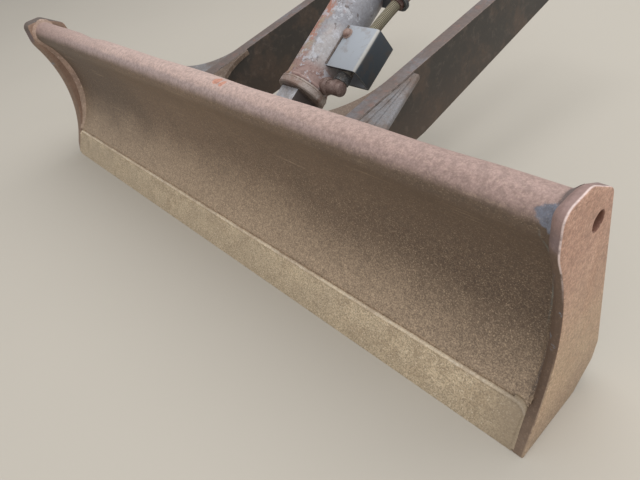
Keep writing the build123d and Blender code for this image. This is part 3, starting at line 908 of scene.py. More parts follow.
@dataclass(frozen=True)
class BarrelPaint:
    """Barrel with salmon rust on one side, bare blue-grey steel on the other, scuffs and flakes."""

    name: str = "barrel_paint"
    rust: Colour = paint(166, 150, 144)
    cream: Colour = paint(184, 170, 154)
    bare: Colour = paint(150, 151, 158)
    mauve: Colour = paint(160, 134, 128)
    scuff: Colour = paint(182, 178, 178)
    pit: Colour = paint(84, 74, 70)

    def build(self) -> bpy.types.Material:
        """Make the material."""
        skin = Skin.start(self.name)
        net, place = skin.net, skin.place
        axis = (math.cos(math.radians(RAM_ANGLE)), math.sin(math.radians(RAM_ANGLE)))
        base = at(0, *RAM_PIN)
        across, back, up = skin.axes()
        along = net.calc("ADD", net.calc("MULTIPLY", net.calc("SUBTRACT", back, base.y), axis[0]),
                         net.calc("MULTIPLY", net.calc("SUBTRACT", up, base.z), axis[1]))
        wide = net.calc("MULTIPLY", net.calc("SUBTRACT", net.noise(place, 14.0, 4.0, 0.6), 0.5), 0.06)
        side = net.calc("ADD", across, wide)
        colour = net.mix(net.span(side, -0.012, 0.012), self.rust, self.bare)
        left = net.span(side, -0.036, -0.048)
        colour = net.mix(net.calc("MULTIPLY", left, 0.6), colour, self.cream)
        worn = net.group("mottle", Place=net.shift(place, move=(5, 2, 1)), Scale=24.0, Low=0.5, High=0.56)
        worn = net.calc("MULTIPLY", worn, net.span(side, 0.03, -0.02))
        colour = net.mix(net.calc("MULTIPLY", worn, 0.9), colour, paint(178, 112, 90))
        low = net.span(net.calc("ADD", along, wide), 0.16, 0.115)
        brown = net.group("mottle", Place=net.shift(place, move=(1, 4, 2)), Scale=55.0, Low=0.48, High=0.58)
        mauve = net.mix(net.calc("MULTIPLY", brown, 0.7), self.mauve, paint(124, 92, 84))
        colour = net.mix(low, colour, mauve)
        middle = net.calc("MULTIPLY", net.span(along, 0.11, 0.14), net.span(along, 0.235, 0.2))
        rubbed = net.calc("MULTIPLY", middle, net.span(side, 0.006, 0.02))
        colour = net.mix(net.calc("MULTIPLY", rubbed, 0.8), colour, self.scuff)
        khaki = net.group("mottle", Place=net.shift(place, move=(2, 7, 4)), Scale=38.0, Low=0.5, High=0.57)
        khaki = net.calc("MULTIPLY", khaki, net.calc("MULTIPLY", net.span(side, 0.02, -0.01),
                                                     net.span(along, 0.3, 0.2)))
        colour = net.mix(net.calc("MULTIPLY", khaki, 0.7), colour, paint(168, 150, 122))
        flakes = net.group("mottle", Place=place, Scale=52.0, Low=0.53, High=0.58)
        colour = net.mix(net.calc("MULTIPLY", flakes, 0.75), colour, paint(192, 194, 202))
        pits = net.group("mottle", Place=net.shift(place, move=(3, 1, 2)), Scale=70.0, Low=0.6, High=0.65)
        colour = net.mix(net.calc("MULTIPLY", pits, 0.75), colour, self.pit)
        stain = net.group("mottle", Place=place, Scale=18.0, Low=0.5, High=0.66)
        colour = net.mix(net.calc("MULTIPLY", stain, 0.4), colour, paint(170, 128, 108))
        fine = net.noise(place, 180.0, 4.0, 0.65)
        colour = net.mix(net.calc("MULTIPLY", net.span(fine, 0.6, 0.36), 0.25), colour, paint(96, 82, 76))
        rough = net.calc("ADD", 0.4, net.calc("MULTIPLY", fine, 0.25))
        height = net.calc("SUBTRACT", net.group("relief", Place=place, Grain=0.4, Pits=0.6),
                          net.calc("MULTIPLY", pits, 0.8))
        return skin.close(colour, rough, height, 0.4, 0.0)


@dataclass(frozen=True)
class ArmPaint:
    """Old dark paint on an arm's sides, partly painted shade, worn to blue-grey and mauve steel along its top."""

    name: str = "arm_paint"
    # side holds the dark paint and the painted shade of the arm's sides.
    side: Colour = paint(62, 58, 54)
    brown: Colour = paint(98, 80, 68)
    top: Colour = paint(112, 99, 94)
    cool: Colour = paint(124, 122, 126)
    rim: Colour = paint(178, 156, 144)

    def build(self) -> bpy.types.Material:
        """Make the material."""
        skin = Skin.start(self.name)
        net, place = skin.net, skin.place
        across, back, up = skin.axes()
        stain = net.group("mottle", Place=place, Scale=12.0, Low=0.46, High=0.64)
        small = net.group("mottle", Place=place, Scale=60.0, Low=0.52, High=0.64)
        # Sides: dark paint darkened as painted shade, browner low down.
        dark = net.mix(net.calc("MULTIPLY", stain, 0.6), self.side, self.brown)
        low = net.span(up, -0.07, -0.2)
        dark = net.mix(net.calc("MULTIPLY", low, 0.6), dark, self.brown)
        dark = net.mix(net.calc("MULTIPLY", small, 0.25), dark, paint(122, 108, 98))
        bright = net.mix(net.calc("MULTIPLY", stain, 0.8), self.top, self.cool)
        bright = net.mix(net.calc("MULTIPLY", small, 0.5), bright, paint(138, 102, 90))
        # Faces turned up take the top colours and the others the darker sides, so the sides carry painted shade.
        colour = net.mix(skin.facing((0, -0.156, 0.988), 0.6, 0.85), dark, bright)
        rims = net.group("edges", Place=place, Width=0.003, Low=0.02, High=0.12)
        colour = net.mix(net.calc("MULTIPLY", rims, 0.7), colour, self.rim)
        earth = net.group("dust", Place=place, Low=-0.32, High=-0.2, Patch=0.5)
        colour = net.mix(net.calc("MULTIPLY", earth, 0.5), colour, paint(150, 132, 112))
        fine = net.noise(place, 160.0, 4.0, 0.65)
        colour = net.mix(net.calc("MULTIPLY", net.span(fine, 0.6, 0.36), 0.25), colour, paint(46, 42, 40))
        rough = net.calc("ADD", 0.46, net.calc("MULTIPLY", fine, 0.24))
        height = net.group("relief", Place=place, Grain=0.5, Pits=1.0)
        return skin.close(colour, rough, height, 0.45, net.calc("MULTIPLY", rims, 0.15))


@dataclass(frozen=True)
class GuardPaint:
    """Folded guard: bare blue-grey top, a painted cream highlight along the fold, slate sides, dark inside."""

    name: str = "guard_paint"
    top: Colour = paint(166, 172, 180)
    # Cream of the painted highlight on the fold; the worn rims use it too.
    fold: Colour = paint(196, 192, 182)
    side: Colour = paint(68, 75, 82)

    def build(self) -> bpy.types.Material:
        """Make the material."""
        skin = Skin.start(self.name)
        net, place = skin.net, skin.place
        tilt = math.radians(RAM_ANGLE)
        top = skin.facing((0, -math.sin(tilt), math.cos(tilt)), 0.5, 0.8)
        # Painted highlight: a narrow band of faces turned up and towards +X, along the rounded fold.
        fold = skin.facing((0.6, -0.8 * math.sin(tilt), 0.8 * math.cos(tilt)), 0.86, 0.97)
        stain = net.group("mottle", Place=place, Scale=30.0, Low=0.5, High=0.62)
        fresh = net.mix(net.calc("MULTIPLY", stain, 0.5), self.top, paint(140, 132, 130))
        dark = net.mix(net.calc("MULTIPLY", stain, 0.4), self.side, paint(90, 80, 72))
        colour = net.mix(top, dark, fresh)
        colour = net.mix(net.calc("MULTIPLY", fold, 0.55), colour, self.fold)
        rims = net.group("edges", Place=place, Width=0.002, Low=0.02, High=0.1)
        # Worn rims, in the same cream as the painted highlight.
        colour = net.mix(net.calc("MULTIPLY", rims, 0.7), colour, self.fold)
        fine = net.noise(place, 180.0, 4.0, 0.65)
        rough = net.calc("ADD", 0.42, net.calc("MULTIPLY", fine, 0.22))
        height = net.group("relief", Place=place, Grain=0.4, Pits=0.7)
        return skin.close(colour, rough, height, 0.35, 0.0)


@dataclass(frozen=True)
class Braid:
    """Textile hose cover, woven at a slant, khaki with light threads."""

    name: str = "hose_braid"
    thread: Colour = paint(150, 142, 118)
    light: Colour = paint(196, 188, 164)
    gap: Colour = paint(56, 52, 44)
    rings: tuple = (0.0785, 0.0835)

    def build(self) -> bpy.types.Material:
        """Make the material; the piece's UV map is in metres round and along."""
        skin = Skin.start(self.name)
        net = skin.net
        one = net.add("SeparateXYZ", {0: skin.uv})
        round_, along = one.outputs[0], one.outputs[1]
        waves = []
        for sign in (1, -1):
            slant = net.calc("ADD", net.calc("MULTIPLY", round_, sign * 1.0), along)
            waves.append(net.calc("SINE", net.calc("MULTIPLY", slant, 900.0)))
        over = net.calc("MULTIPLY", waves[0], waves[1])
        weave = net.span(over, -0.9, 0.9)
        dots = net.calc("GREATER_THAN", over, 0.55)
        colour = net.mix(weave, self.gap, self.thread)
        colour = net.mix(net.calc("MULTIPLY", dots, 0.7), colour, self.light)
        soil = net.group("mottle", Place=skin.place, Scale=40.0, Low=0.48, High=0.66)
        colour = net.mix(net.calc("MULTIPLY", soil, 0.35), colour, paint(112, 92, 74))
        for middle in self.rings:
            off = net.calc("ABSOLUTE", net.calc("SUBTRACT", along, middle))
            colour = net.mix(net.span(off, 0.0014, 0.0006), colour, self.gap)
        return skin.close(colour, 0.85, weave, 0.8, 0.0, 0.8)


@dataclass(frozen=True)
class Chrome:
    """Hard chrome of the rod, with fine turning marks and a film of oil."""

    name: str = "rod_chrome"
    colour: Colour = paint(205, 208, 212)

    def build(self) -> bpy.types.Material:
        """Make the material."""
        skin = Skin.start(self.name)
        net, place = skin.net, skin.place
        tilt = math.radians(RAM_ANGLE)
        turned = net.shift(place, turn=(-tilt, 0, 0))
        marks = net.noise(net.shift(turned, stretch=(1, 60, 1)), 30.0, 3.0, 0.5)
        film = net.group("mottle", Place=place, Scale=14.0, Low=0.5, High=0.66)
        colour = net.mix(net.calc("MULTIPLY", film, 0.3), self.colour, paint(150, 142, 130))
        rough = net.calc("ADD", 0.14, net.calc("MULTIPLY", film, 0.2))
        return skin.close(colour, rough, marks, 0.03, 1.0, 0.3)


@dataclass(frozen=True)
class PaleFloor:
    """Plain pale floor."""

    name: str = "pale_floor"
    colour: Colour = paint(198, 192, 181)

    def build(self) -> bpy.types.Material:
        """Make the material."""
        skin = Skin.start(self.name)
        cloud = skin.net.noise(skin.place, 1.2, 3.0, 0.5)
        colour = skin.net.mix(cloud, self.colour, tuple(c * 0.94 for c in self.colour))
        return skin.close(colour, 0.9, skin.net.noise(skin.place, 200.0, 3.0), 0.2, 0.0, 0.2)


FINISHES = {
    # corner on the bar and the weld is painted shade towards the left side plate.
    "bar": WornSteel("bar_steel", paint(222, 202, 171), paint(194, 173, 144), paint(236, 217, 187),
                     rim=paint(236, 222, 198), earth=paint(190, 172, 146), earth_low=-0.31,
                     earth_high=-0.24, stain_scale=28.0, light_scale=190.0, grain=0.62,
                     corner=paint(146, 130, 110)),
    "far_cove": WornSteel("far_cove_weld", paint(190, 162, 145), paint(166, 141, 126), paint(208, 184, 168),
                          rim=paint(198, 174, 158), earth=paint(196, 174, 150), stain_scale=20.0,
                          light_scale=80.0, rim_share=0.2, earth_low=-0.25, earth_high=-0.1, seed=1.6),
    "weld": WornSteel("weld_metal", paint(250, 232, 204), paint(222, 202, 176), paint(252, 240, 220),
                      rim=paint(252, 240, 220), stain_scale=22.0, light_scale=60.0, depth=0.6,
                      earth_share=0.0, corner=paint(132, 117, 100)),
    "arm": ArmPaint(),
    "cover": WornSteel("cover_steel", paint(138, 138, 142), paint(120, 106, 98), paint(160, 158, 160),
                       rim=paint(150, 118, 104), seed=3.1, light_scale=18.0),
    "seam": WornSteel("seam_weld", paint(112, 100, 94), paint(84, 72, 66), paint(146, 136, 130),
                      rim=paint(160, 148, 140), stain_scale=30.0, light_scale=60.0, depth=0.6,
                      earth_share=0.3, seed=4.9),
    "gusset": WornSteel("gusset_steel", paint(130, 112, 98), paint(104, 86, 72), paint(164, 146, 130),
                        seed=5.3),
    "back": WornSteel("back_steel", paint(126, 108, 94), paint(98, 82, 70), paint(152, 134, 118),
                      seed=7.9, earth_high=-0.1),
    "ear": WornSteel("ear_steel", paint(140, 126, 116), paint(110, 94, 82), paint(168, 156, 146), seed=9.2),
    "boss": WornSteel("boss_steel", paint(112, 102, 96), paint(88, 76, 68), paint(144, 134, 128),
                      seed=11.4),
    "cap": WornSteel("cap_steel", paint(188, 176, 170), paint(158, 134, 124), paint(204, 194, 190),
                     stain_scale=24.0, light_scale=60.0, seed=2.3, rim=paint(196, 180, 168), rim_width=1.6),
    # shaded on the lug is painted shade on its side facing +X.
    "lug": WornSteel("lug_steel", paint(198, 202, 212), paint(176, 172, 174), paint(216, 218, 224),
                     stain_scale=22.0, seed=4.4, rim=paint(220, 216, 208), metal=0.3,
                     shaded=paint(84, 76, 74)),
    "eye": WornSteel("eye_steel", paint(182, 184, 192), paint(152, 146, 144), paint(206, 208, 212),
                     stain_scale=22.0, seed=4.4, rim=paint(220, 216, 208), metal=0.3),
    "gland": WornSteel("gland_steel", paint(150, 146, 142), paint(118, 104, 94), paint(180, 176, 172),
                       stain_scale=20.0, seed=6.6, metal=0.3),
    "elbow": WornSteel("elbow_steel", paint(142, 120, 114), paint(108, 84, 76), paint(160, 144, 138),
                       stain_scale=40.0, light_scale=70.0, seed=8.1, rim_width=1.5),
    "slate": WornSteel("swivel_steel", paint(84, 88, 92), paint(66, 62, 60), paint(120, 122, 124),
                       stain_scale=40.0, light_scale=80.0, seed=1.1, rim_width=1.5),
    "bolt": WornSteel("rusty_bolt", paint(164, 138, 128), paint(134, 102, 90), paint(182, 164, 156),
                      stain_scale=50.0, light_scale=90.0, seed=2.9, rim_width=1.5),
    "ferrule": WornSteel("ferrule_steel", paint(176, 170, 160), paint(96, 86, 78), paint(206, 202, 196),
                         stain_scale=50.0, light_scale=90.0, seed=3.7, rim_width=1.2, metal=0.4),
    "union": WornSteel("union_steel", paint(112, 76, 66), paint(84, 56, 50), paint(140, 112, 100),
                       stain_scale=50.0, light_scale=80.0, seed=5.9, rim_width=1.5),
    "bush": WornSteel("bush_steel", paint(150, 142, 132), paint(110, 94, 80), paint(184, 178, 170),
                      stain_scale=40.0, light_scale=60.0, rough=0.42, seed=6.2, metal=0.6, rim_width=1.2),
    "face": BladeFace(), "side": SidePlate(), "barrel": BarrelPaint(), "guard": GuardPaint(),
    "braid": Braid(), "chrome": Chrome(), "floor": PaleFloor(),
}
MADE: dict[str, bpy.types.Material] = {}


def finish(word: str) -> bpy.types.Material:
    """Material of a finish, built when it is first asked for."""
    if word not in MADE:
        MADE[word] = FINISHES[word].build()
    return MADE[word]


def deliver(obj: bpy.types.Object, name: str, body: str, word: str,
            replaces: Iterable[str] = (), angle: float = 35.0) -> bpy.types.Object:
    """Hand over a finished piece.

    Args:
        obj: The piece, at its place.
        name: Its name.
        body: Body it rides on.
        word: Its finish.
        replaces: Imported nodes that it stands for.
        angle: Edges sharper than this stay sharp.

    Returns:
        The same object.
    """
    Bench.settle(obj, merge=2e-6)
    Bench.smooth(obj, angle)
    obj.name = name
    obj.data.name = name
    obj.data.materials.clear()
    obj.data.materials.append(finish(word))
    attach(obj, body)
    if replaces:
        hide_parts(*replaces)
    log.info("%s rides on %s, %d faces, for %s", name, body, len(obj.data.polygons),
             ", ".join(replaces) or "no node")
    return obj


def dress(node: str, word: str) -> None:
    """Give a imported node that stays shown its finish."""
    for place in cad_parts[node].material_slots:
        place.material = finish(word)
    log.info("%s keeps its shape and gets %s", node, word)


# ---------------------------------------------------------------- pieces


@dataclass
class Blade:
    """Hollow face plate, foot bar and side plates."""

    width: float = 1500.0
    height: float = 371.0
    plate: float = 10.0
    side_thick: float = 16.0
    gap: float = 0.3
    face_radius: float = 200.0
    face_start: float = -44.5
    roll_radius: float = 28.0
    roll_end: float = 30.0
    bar_angle: float = 62.3
    bar_length: float = 69.0
    bar_thick: float = 16.0
    bar_corner: float = 18.0
    bar_step: float = 2.5
    side_radius: float = 324.0
    side_centre: Point = (-267.7, 190.6)
    side_throat: float = 328.0
    side_corners: tuple = ((25.73, 381.0), (75.0, 383.0), (125.5, 351.5), (182.0, 64.0), (174.0, 32.0),
                           (128.0, 0.0))
    side_rounds: tuple = (17.0, 25.0, 17.0, 12.0, 12.0, 12.0)
    side_bevel: float = 7.0
    hole: Point = (100.0, 326.0)
    hole_radius: float = 11.0
    inner: float = field(init=False)
    bar_top: Point = field(init=False)
    face_foot: Point = field(init=False)
    face_centre: Point = field(init=False)
    roll_turn: float = field(init=False)
    roll_centre: Point = field(init=False)

    def __post_init__(self) -> None:
        """Work out the points of the side view."""
        self.inner = self.width / 2 - self.side_thick - self.gap
        self.bar_top = polar((0, 0), self.bar_length, self.bar_angle)
        self.face_foot = polar(self.bar_top, self.bar_step, self.bar_angle - 90)
        self.face_centre = polar(self.face_foot, self.face_radius, self.face_start + 180)
        rise = self.height - self.roll_radius - self.face_centre[1]
        self.roll_turn = math.degrees(math.asin(rise / (self.face_radius + self.roll_radius)))
        self.roll_centre = polar(self.face_centre, self.face_radius + self.roll_radius, self.roll_turn)

    def build(self) -> None:
        """Make every piece of the blade."""
        self.face_plate()
        self.foot_bar()
        self.foot_weld()
        for side in Side:
            self.side_plate(side)
            self.side_weld(side)

    def face_plate(self) -> None:
        """Bend the plate: hollow face, then the roll over the top."""
        strip = Strip("face", 2 * self.inner, 0, self.face_foot, cuts=150)
        strip.arc(self.face_centre, self.roll_turn - self.face_start, 26)
        strip.arc(self.roll_centre, self.roll_end - self.roll_turn - 180, 22)
        obj = strip.done()
        Bench.open(obj)
        bpy.ops.mesh.select_all(action="SELECT")
        bpy.ops.mesh.remove_doubles(threshold=2e-5)
        bpy.ops.mesh.normals_make_consistent(inside=False)
        shape = bmesh.from_edit_mesh(obj.data)
        hollow = at(0, *self.face_centre)
        outward = sum(f.normal.dot(f.calc_center_median() - hollow) for f in shape.faces
                      if f.calc_center_median().z < hollow.z)
        if outward > 0:
            bpy.ops.mesh.flip_normals()
        self.wear_lip(obj)
        Bench.modify(obj, "SOLIDIFY", thickness=self.plate * MM, offset=-1.0)
        Bench.dent(obj, 160, 0.9)
        Bench.bevel(obj, 1.2, 2, 60)
        deliver(obj, "face_plate", "blade", "face", ("mouldboard",))

    def wear_lip(self, obj: bpy.types.Object) -> None:
        """Press shallow waves into the lip behind the roll."""
        for middle, width, depth in ((-430, 90, 4.0), (-120, 140, 1.4), (210, 120, 1.8), (560, 110, 1.5)):
            Bench.open(obj)
            lip = at(middle, *polar(self.roll_centre, self.roll_radius, self.roll_end))
            Bench.pick(obj, lambda v, p=lip: (v.co - p).length < 0.012)
            bpy.ops.transform.translate(value=(0, -0.3 * depth * MM, -depth * MM), use_proportional_edit=True,
                                        proportional_edit_falloff="SMOOTH", proportional_size=width * MM)
            Bench.clear()

    def foot_bar(self) -> None:
        """Flat bar with rounded upper corners that leans back, its foot cut level."""
        Bench.clear()
        bpy.ops.mesh.primitive_cube_add(size=1, location=(0, self.bar_length * MM / 2, -self.bar_thick * MM / 2))
        obj = bpy.context.active_object
        obj.scale = (2 * self.inner * MM, self.bar_length * MM, self.bar_thick * MM)
        bpy.ops.object.transform_apply(location=True, rotation=True, scale=True)
        Bench.open(obj)
        top = self.bar_length * MM
        Bench.pick(obj, lambda e: all(abs(v.co.y - top) < 1e-5 for v in e.verts)
                   and abs(e.verts[0].co.x - e.verts[1].co.x) < 1e-6, "EDGE")
        bpy.ops.mesh.bevel(offset=self.bar_corner * MM, segments=8, affect="EDGES")
        Bench.clear()
        Bench.bevel(obj, 1.6, 2, 50)
        obj.matrix_world = Matrix.Translation(at(0, 0, 0)) @ Matrix.Rotation(
            math.radians(self.bar_angle), 4, "X")
        Bench.settle(obj)
        Bench.open(obj)
        bpy.ops.mesh.select_all(action="SELECT")
        bpy.ops.mesh.bisect(plane_co=at(0, 0, 0), plane_no=(0, 0, 1), use_fill=True, clear_inner=True)
        self.wear_corner(obj)
        Bench.bevel(obj, 0.8, 1, 50)
        deliver(obj, "foot_bar", "blade", "bar", ("cutting_edge",))

    @staticmethod
    def wear_corner(obj: bpy.types.Object) -> None:
        """Wear off the far lower corner with two slanting cuts."""
        Bench.open(obj)
        for spot, normal in (((-750.0, 26.0), (-22.0, -13.0)), ((-741.0, 8.0), (-8.0, -25.0))):
            bpy.ops.mesh.select_all(action="SELECT")
            facing = Vector((normal[0], 0, normal[1])).normalized()
            bpy.ops.mesh.bisect(plane_co=at(spot[0], 0, spot[1]), plane_no=facing, use_fill=True,
                                clear_outer=True)
        Bench.clear()

    def foot_weld(self) -> None:
        """Weld between the bar and the face, rubbed low by the soil."""
        up = (self.bar_top[0] + 1.6, self.bar_top[1] + 0.6)
        bead = Bead("foot_weld", 3.8, 6.0)
        reach = self.inner - self.bar_corner
        obj = bead.straight(at(-reach, *up), at(reach, *up))
        deliver(obj, "foot_weld", "blade", "weld", angle=60)
        for side in Side:
            self.corner_weld(side)

    def bar_point(self, side: Side, across: float, along: float, sink: float) -> Vector:
        """Point by the bar's face, from its place across and along the bar and its depth behind the face."""
        lean = math.radians(self.bar_angle)
        return at(side.value * min(across, self.inner - 0.5), along * math.cos(lean) + sink * math.sin(lean),
                  along * math.sin(lean) - sink * math.cos(lean))

    def corner_weld(self, side: Side) -> None:
        """Weld metal that fills the bar's rounded corner and runs down its end, and the curl of the foot weld."""
        corner = (self.inner - self.bar_corner, self.bar_length - self.bar_corner)
        flat = [polar(corner, self.bar_corner + 2.5, angle) for angle in range(95, -6, -10)]
        flat += [(self.inner - 0.5, along) for along in (44, 36, 28, 20, 12, 5)]
        obj = Bead(f"corner_{side.word}", 5.4, 5.0, 10, 0.03).run([self.bar_point(side, *p, 4.0) for p in flat])
        Bench.open(obj)
        bpy.ops.mesh.select_all(action="SELECT")
        bpy.ops.mesh.bisect(plane_co=at(0, 0, 0.5), plane_no=(0, 0, 1), use_fill=True, clear_inner=True)
        Bench.clear()
        if side is Side.RIGHT:
            self.wear_corner(obj)
        deliver(obj, f"corner_weld_{side.word}", "blade", "bar", angle=60)
        curl = [polar(corner, self.bar_corner + 1.28, angle) for angle in range(92, 21, -7)]
        obj = Bead(f"curl_{side.word}", 3.6, 6.0).run([self.bar_point(side, *p, 1.14) for p in curl])
        deliver(obj, f"foot_curl_{side.word}", "blade", "weld", angle=60)

    def side_outline(self, name: str, middle: float) -> Strip:
        """Rim of a side plate with its hollow front.

        Args:
            name: Name of the new object.
            middle: Place of the plate across the blade.

        Returns:
            The closed strip.
        """
        low = math.degrees(math.asin((self.bar_top[1] - self.side_centre[1]) / self.side_radius))
        high = math.degrees(math.asin((self.side_throat - self.side_centre[1]) / self.side_radius))
        strip = Strip(name, self.side_thick, middle, (0.0, 0.0))
        strip.line(polar(self.side_centre, self.side_radius, low))
        strip.arc(self.side_centre, high - 2.7 - low, 24)
        throat = polar(self.side_centre, self.side_radius, high)
        return strip.outline((throat, *self.side_corners), (60.0, *self.side_rounds)).cap()

    def side_plate(self, side: Side) -> None:
        """Cut a side plate, bevel its hollow front inside and break its rims."""
        way = side.value
        obj = self.side_outline(f"side_{side.word}", way * (self.width - self.side_thick) / 2).done()
        Bench.open(obj)
        inner = way * (self.width / 2 - self.side_thick) * MM
        centre = at(0, *self.side_centre).yz
        reach = self.side_radius * MM

        throat = at(0, 112, self.side_throat - 1)

        def on_rim(vert: bmesh.types.BMVert) -> bool:
            hollow = (abs((vert.co.yz - centre).length - reach) < 4e-4
                      and vert.co.z > at(0, 0, self.bar_top[1] - 1).z)
            nose = vert.co.z > throat.z and vert.co.y < throat.y
            return abs(vert.co.x - inner) < 1e-5 and (hollow or nose)

        Bench.pick(obj, lambda edge: all(on_rim(v) for v in edge.verts), "EDGE")
        bpy.ops.mesh.bevel(offset=self.side_bevel * MM, segments=1, affect="EDGES")
        Bench.clear()
        bpy.ops.mesh.primitive_cylinder_add(vertices=32, radius=self.hole_radius * MM, depth=0.08,
                                            location=at(way * self.width / 2, *self.hole),
                                            rotation=(0, math.pi / 2, 0))
        Bench.cut(obj, bpy.context.active_object)
        if side is Side.RIGHT:
            self.wear_corner(obj)
        Bench.bevel(obj, 2.0, 3, 32)
        deliver(obj, f"side_plate_{side.word}", "blade", "side", (f"end_plate_{side.word}",))

    def cove_route(self) -> list[tuple[Point, float]]:
        """Corner between the face and a side plate, from the bar up over the roll.

        Returns:
            Points of the side view, each with the leg of the weld there.
        """
        route = []
        for k in range(37):
            share = k / 36
            angle = self.face_start + 2 + (self.roll_turn - self.face_start - 2) * share
            leg = 5 + 11 * min(1.0, share / 0.3) - 6 * max(0.0, share - 0.7) / 0.3
            route.append((polar(self.face_centre, self.face_radius, angle), leg))
        begin = self.roll_turn + 180
        for k in range(1, 21):
            angle = begin + (self.roll_end - begin) * k / 20
            route.append((polar(self.roll_centre, self.roll_radius, angle), 10 - 4 * k / 20))
        return route

    def side_weld(self, side: Side) -> None:
        """Broad hollow weld where the face and its roll meet a side plate."""
        way = side.value
        wall = way * (self.width / 2 - self.side_thick)
        route = self.cove_route()
        first, leg = route[0]
        Bench.clear()
        bpy.ops.mesh.primitive_circle_add(vertices=6, radius=MM, fill_type="NGON", location=(0, 0, 0),
                                          rotation=(math.pi / 2, 0, 0))
        obj = bpy.context.active_object
        bpy.ops.object.transform_apply(location=True, rotation=True, scale=True)
        Bench.open(obj)
        shape = bmesh.from_edit_mesh(obj.data)
        section = ((0.3, 1.0), (-0.28, 0.42), (-0.62, 0.2), (-1.0, -0.12), (-0.1, -0.2), (0.3, -0.2))
        for vert, (out, off) in zip(list(shape.verts), section):
            vert.co = Vector((way * out, off, 0)) * MM
        bmesh.update_edit_mesh(obj.data)
        bpy.ops.mesh.select_all(action="SELECT")
        previous = None
        for k, (point, leg) in enumerate(route):
            ahead = Vector(route[min(k + 1, len(route) - 1)][0]) - Vector(route[max(k - 1, 0)][0])
            off = Vector((-ahead.y, ahead.x)).normalized()
            if k:
                bpy.ops.mesh.extrude_region_move()
            shape = bmesh.from_edit_mesh(obj.data)
            ring = [v for v in shape.verts if v.select]
            ring.sort(key=lambda v: v.index) if k else None
            for vert, (a, b) in zip(ring if k == 0 else self.follow(ring, previous, section, way), section):
                size = leg * (1 + 0.05 * math.sin(k * 2.4))
                vert.co = at(wall + way * a * size, point[0] + off.x * b * size, point[1] + off.y * b * size)
            previous = (point, off, leg * (1 + 0.05 * math.sin(k * 2.4)), wall)
            bmesh.update_edit_mesh(obj.data)
        Bench.clear()
        word = "face" if side is Side.LEFT else "far_cove"
        deliver(obj, f"side_weld_{side.word}", "blade", word, angle=60)

    @staticmethod
    def follow(ring: list, previous: tuple, section: Sequence[Point], way: int) -> list:
        """Put a fresh ring's points in the order of the section.

        Args:
            ring: Points of the ring, still at the last ring's places.
            previous: The last ring's corner, direction, leg and wall.
            section: Section of the weld, as (out, off) shares of its leg.
            way: 1 on the left, -1 on the right.

        Returns:
            The points in the section's order.
        """
        point, off, leg, wall = previous
        found = []
        for a, b in section:
            spot = at(wall + way * a * leg, point[0] + off.x * b * leg, point[1] + off.y * b * leg)
            found.append(min(ring, key=lambda v, s=spot: (v.co - s).length))
        return found


@dataclass
class PushArms:
    """Two deep arms with their flared plates, bosses and bushes."""

    spacing: float = 486.0
    thick: float = 32.0
    rise: float = 9.0
    top_at_edge: float = 199.7
    seam_start: float = 166.0

    def top(self, back: float) -> float:
        """Height of the arms' top edge."""
        return self.top_at_edge + back * math.tan(math.radians(self.rise))

    def build(self) -> None:
        """Make both arms."""
        for side in Side:
            word = side.word
            deliver(rounded_copy(f"push_arm_{word}", 3.0), f"arm_{word}", "blade", "arm",
                    (f"push_arm_{word}",))
            deliver(rounded_copy(f"arm_cover_{word}", 4.0, 3), f"flare_{word}", "blade",
                    "cover", (f"arm_cover_{word}",))
            deliver(rounded_copy(f"arm_gusset_{word}", 3.5, 3), f"gusset_{word}", "blade",
                    "gusset", (f"arm_gusset_{word}",))
            deliver(rounded_copy(f"pivot_boss_{word}", 2.0), f"boss_{word}", "blade", "boss",
                    (f"pivot_boss_{word}",))
            dress(f"pivot_bush_{word}", "bush")
            self.seams(side)
            self.boss_weld(side)
        self.flare_folds()

    def seams(self, side: Side) -> None:
        """Weld the flared plates to the arm and the arm to the blade's back."""
        way = side.value
        outer = self.spacing / 2 + self.thick / 2
        inner = self.spacing / 2 - self.thick / 2
        ends = {Side.LEFT: (412.0, 364.0), Side.RIGHT: (366.0, 364.0)}[side]
        for word, across, end in (("flare", outer, ends[0]), ("gusset", inner, ends[1])):
            drop = -3.0
            start = at(way * across, self.seam_start, self.top(self.seam_start) + drop)
            stop = at(way * across, end, self.top(end) + drop)
            obj = Bead(f"{word}_seam", 2.8, 6.0).straight(start, stop)
            deliver(obj, f"{word}_seam_{side.word}", "blade", "seam", angle=60)
        for word, across in (("outer", outer + 0.5), ("inner", inner - 0.5)):
            route = [at(way * across, 152, 178), at(way * across, 165, 92)]
            obj = Bead(f"root_{word}", 4.5, 6.0).straight(*route)
            deliver(obj, f"root_{word}_{side.word}", "blade", "seam", angle=60)

    def flare_folds(self) -> None:
        """Raise two long folds in the left flared plate."""
        outer = self.spacing / 2 + self.thick / 2
        for word, near, far in (("inner", (outer + 9, 390), (outer + 20, 205)),
                                ("outer", (outer + 11, 385), (outer + 44, 215))):
            ends = [at(across, back, self.top(back) - 2.4) for across, back in (near, far)]
            obj = Bead(f"fold_{word}", 3.6, 14.0, 10, 0.02).straight(*ends)
            deliver(obj, f"flare_fold_{word}", "blade", "cover", angle=60)

    def boss_weld(self, side: Side) -> None:
        """Ring weld on both sides of the arm round the boss."""
        for word, step in (("outer", 1), ("inner", -1)):
            across = side.value * (self.spacing / 2 + step * self.thick / 2)
            route = [at(across, *polar((PIVOT_BACK, PIVOT_UP), 50.5, 100 + 160 * k / 40)) for k in range(41)]
            obj = Bead(f"boss_{word}", 3.6, 8.0, 7).run(route)
            deliver(obj, f"boss_weld_{word}_{side.word}", "blade", "seam", angle=60)


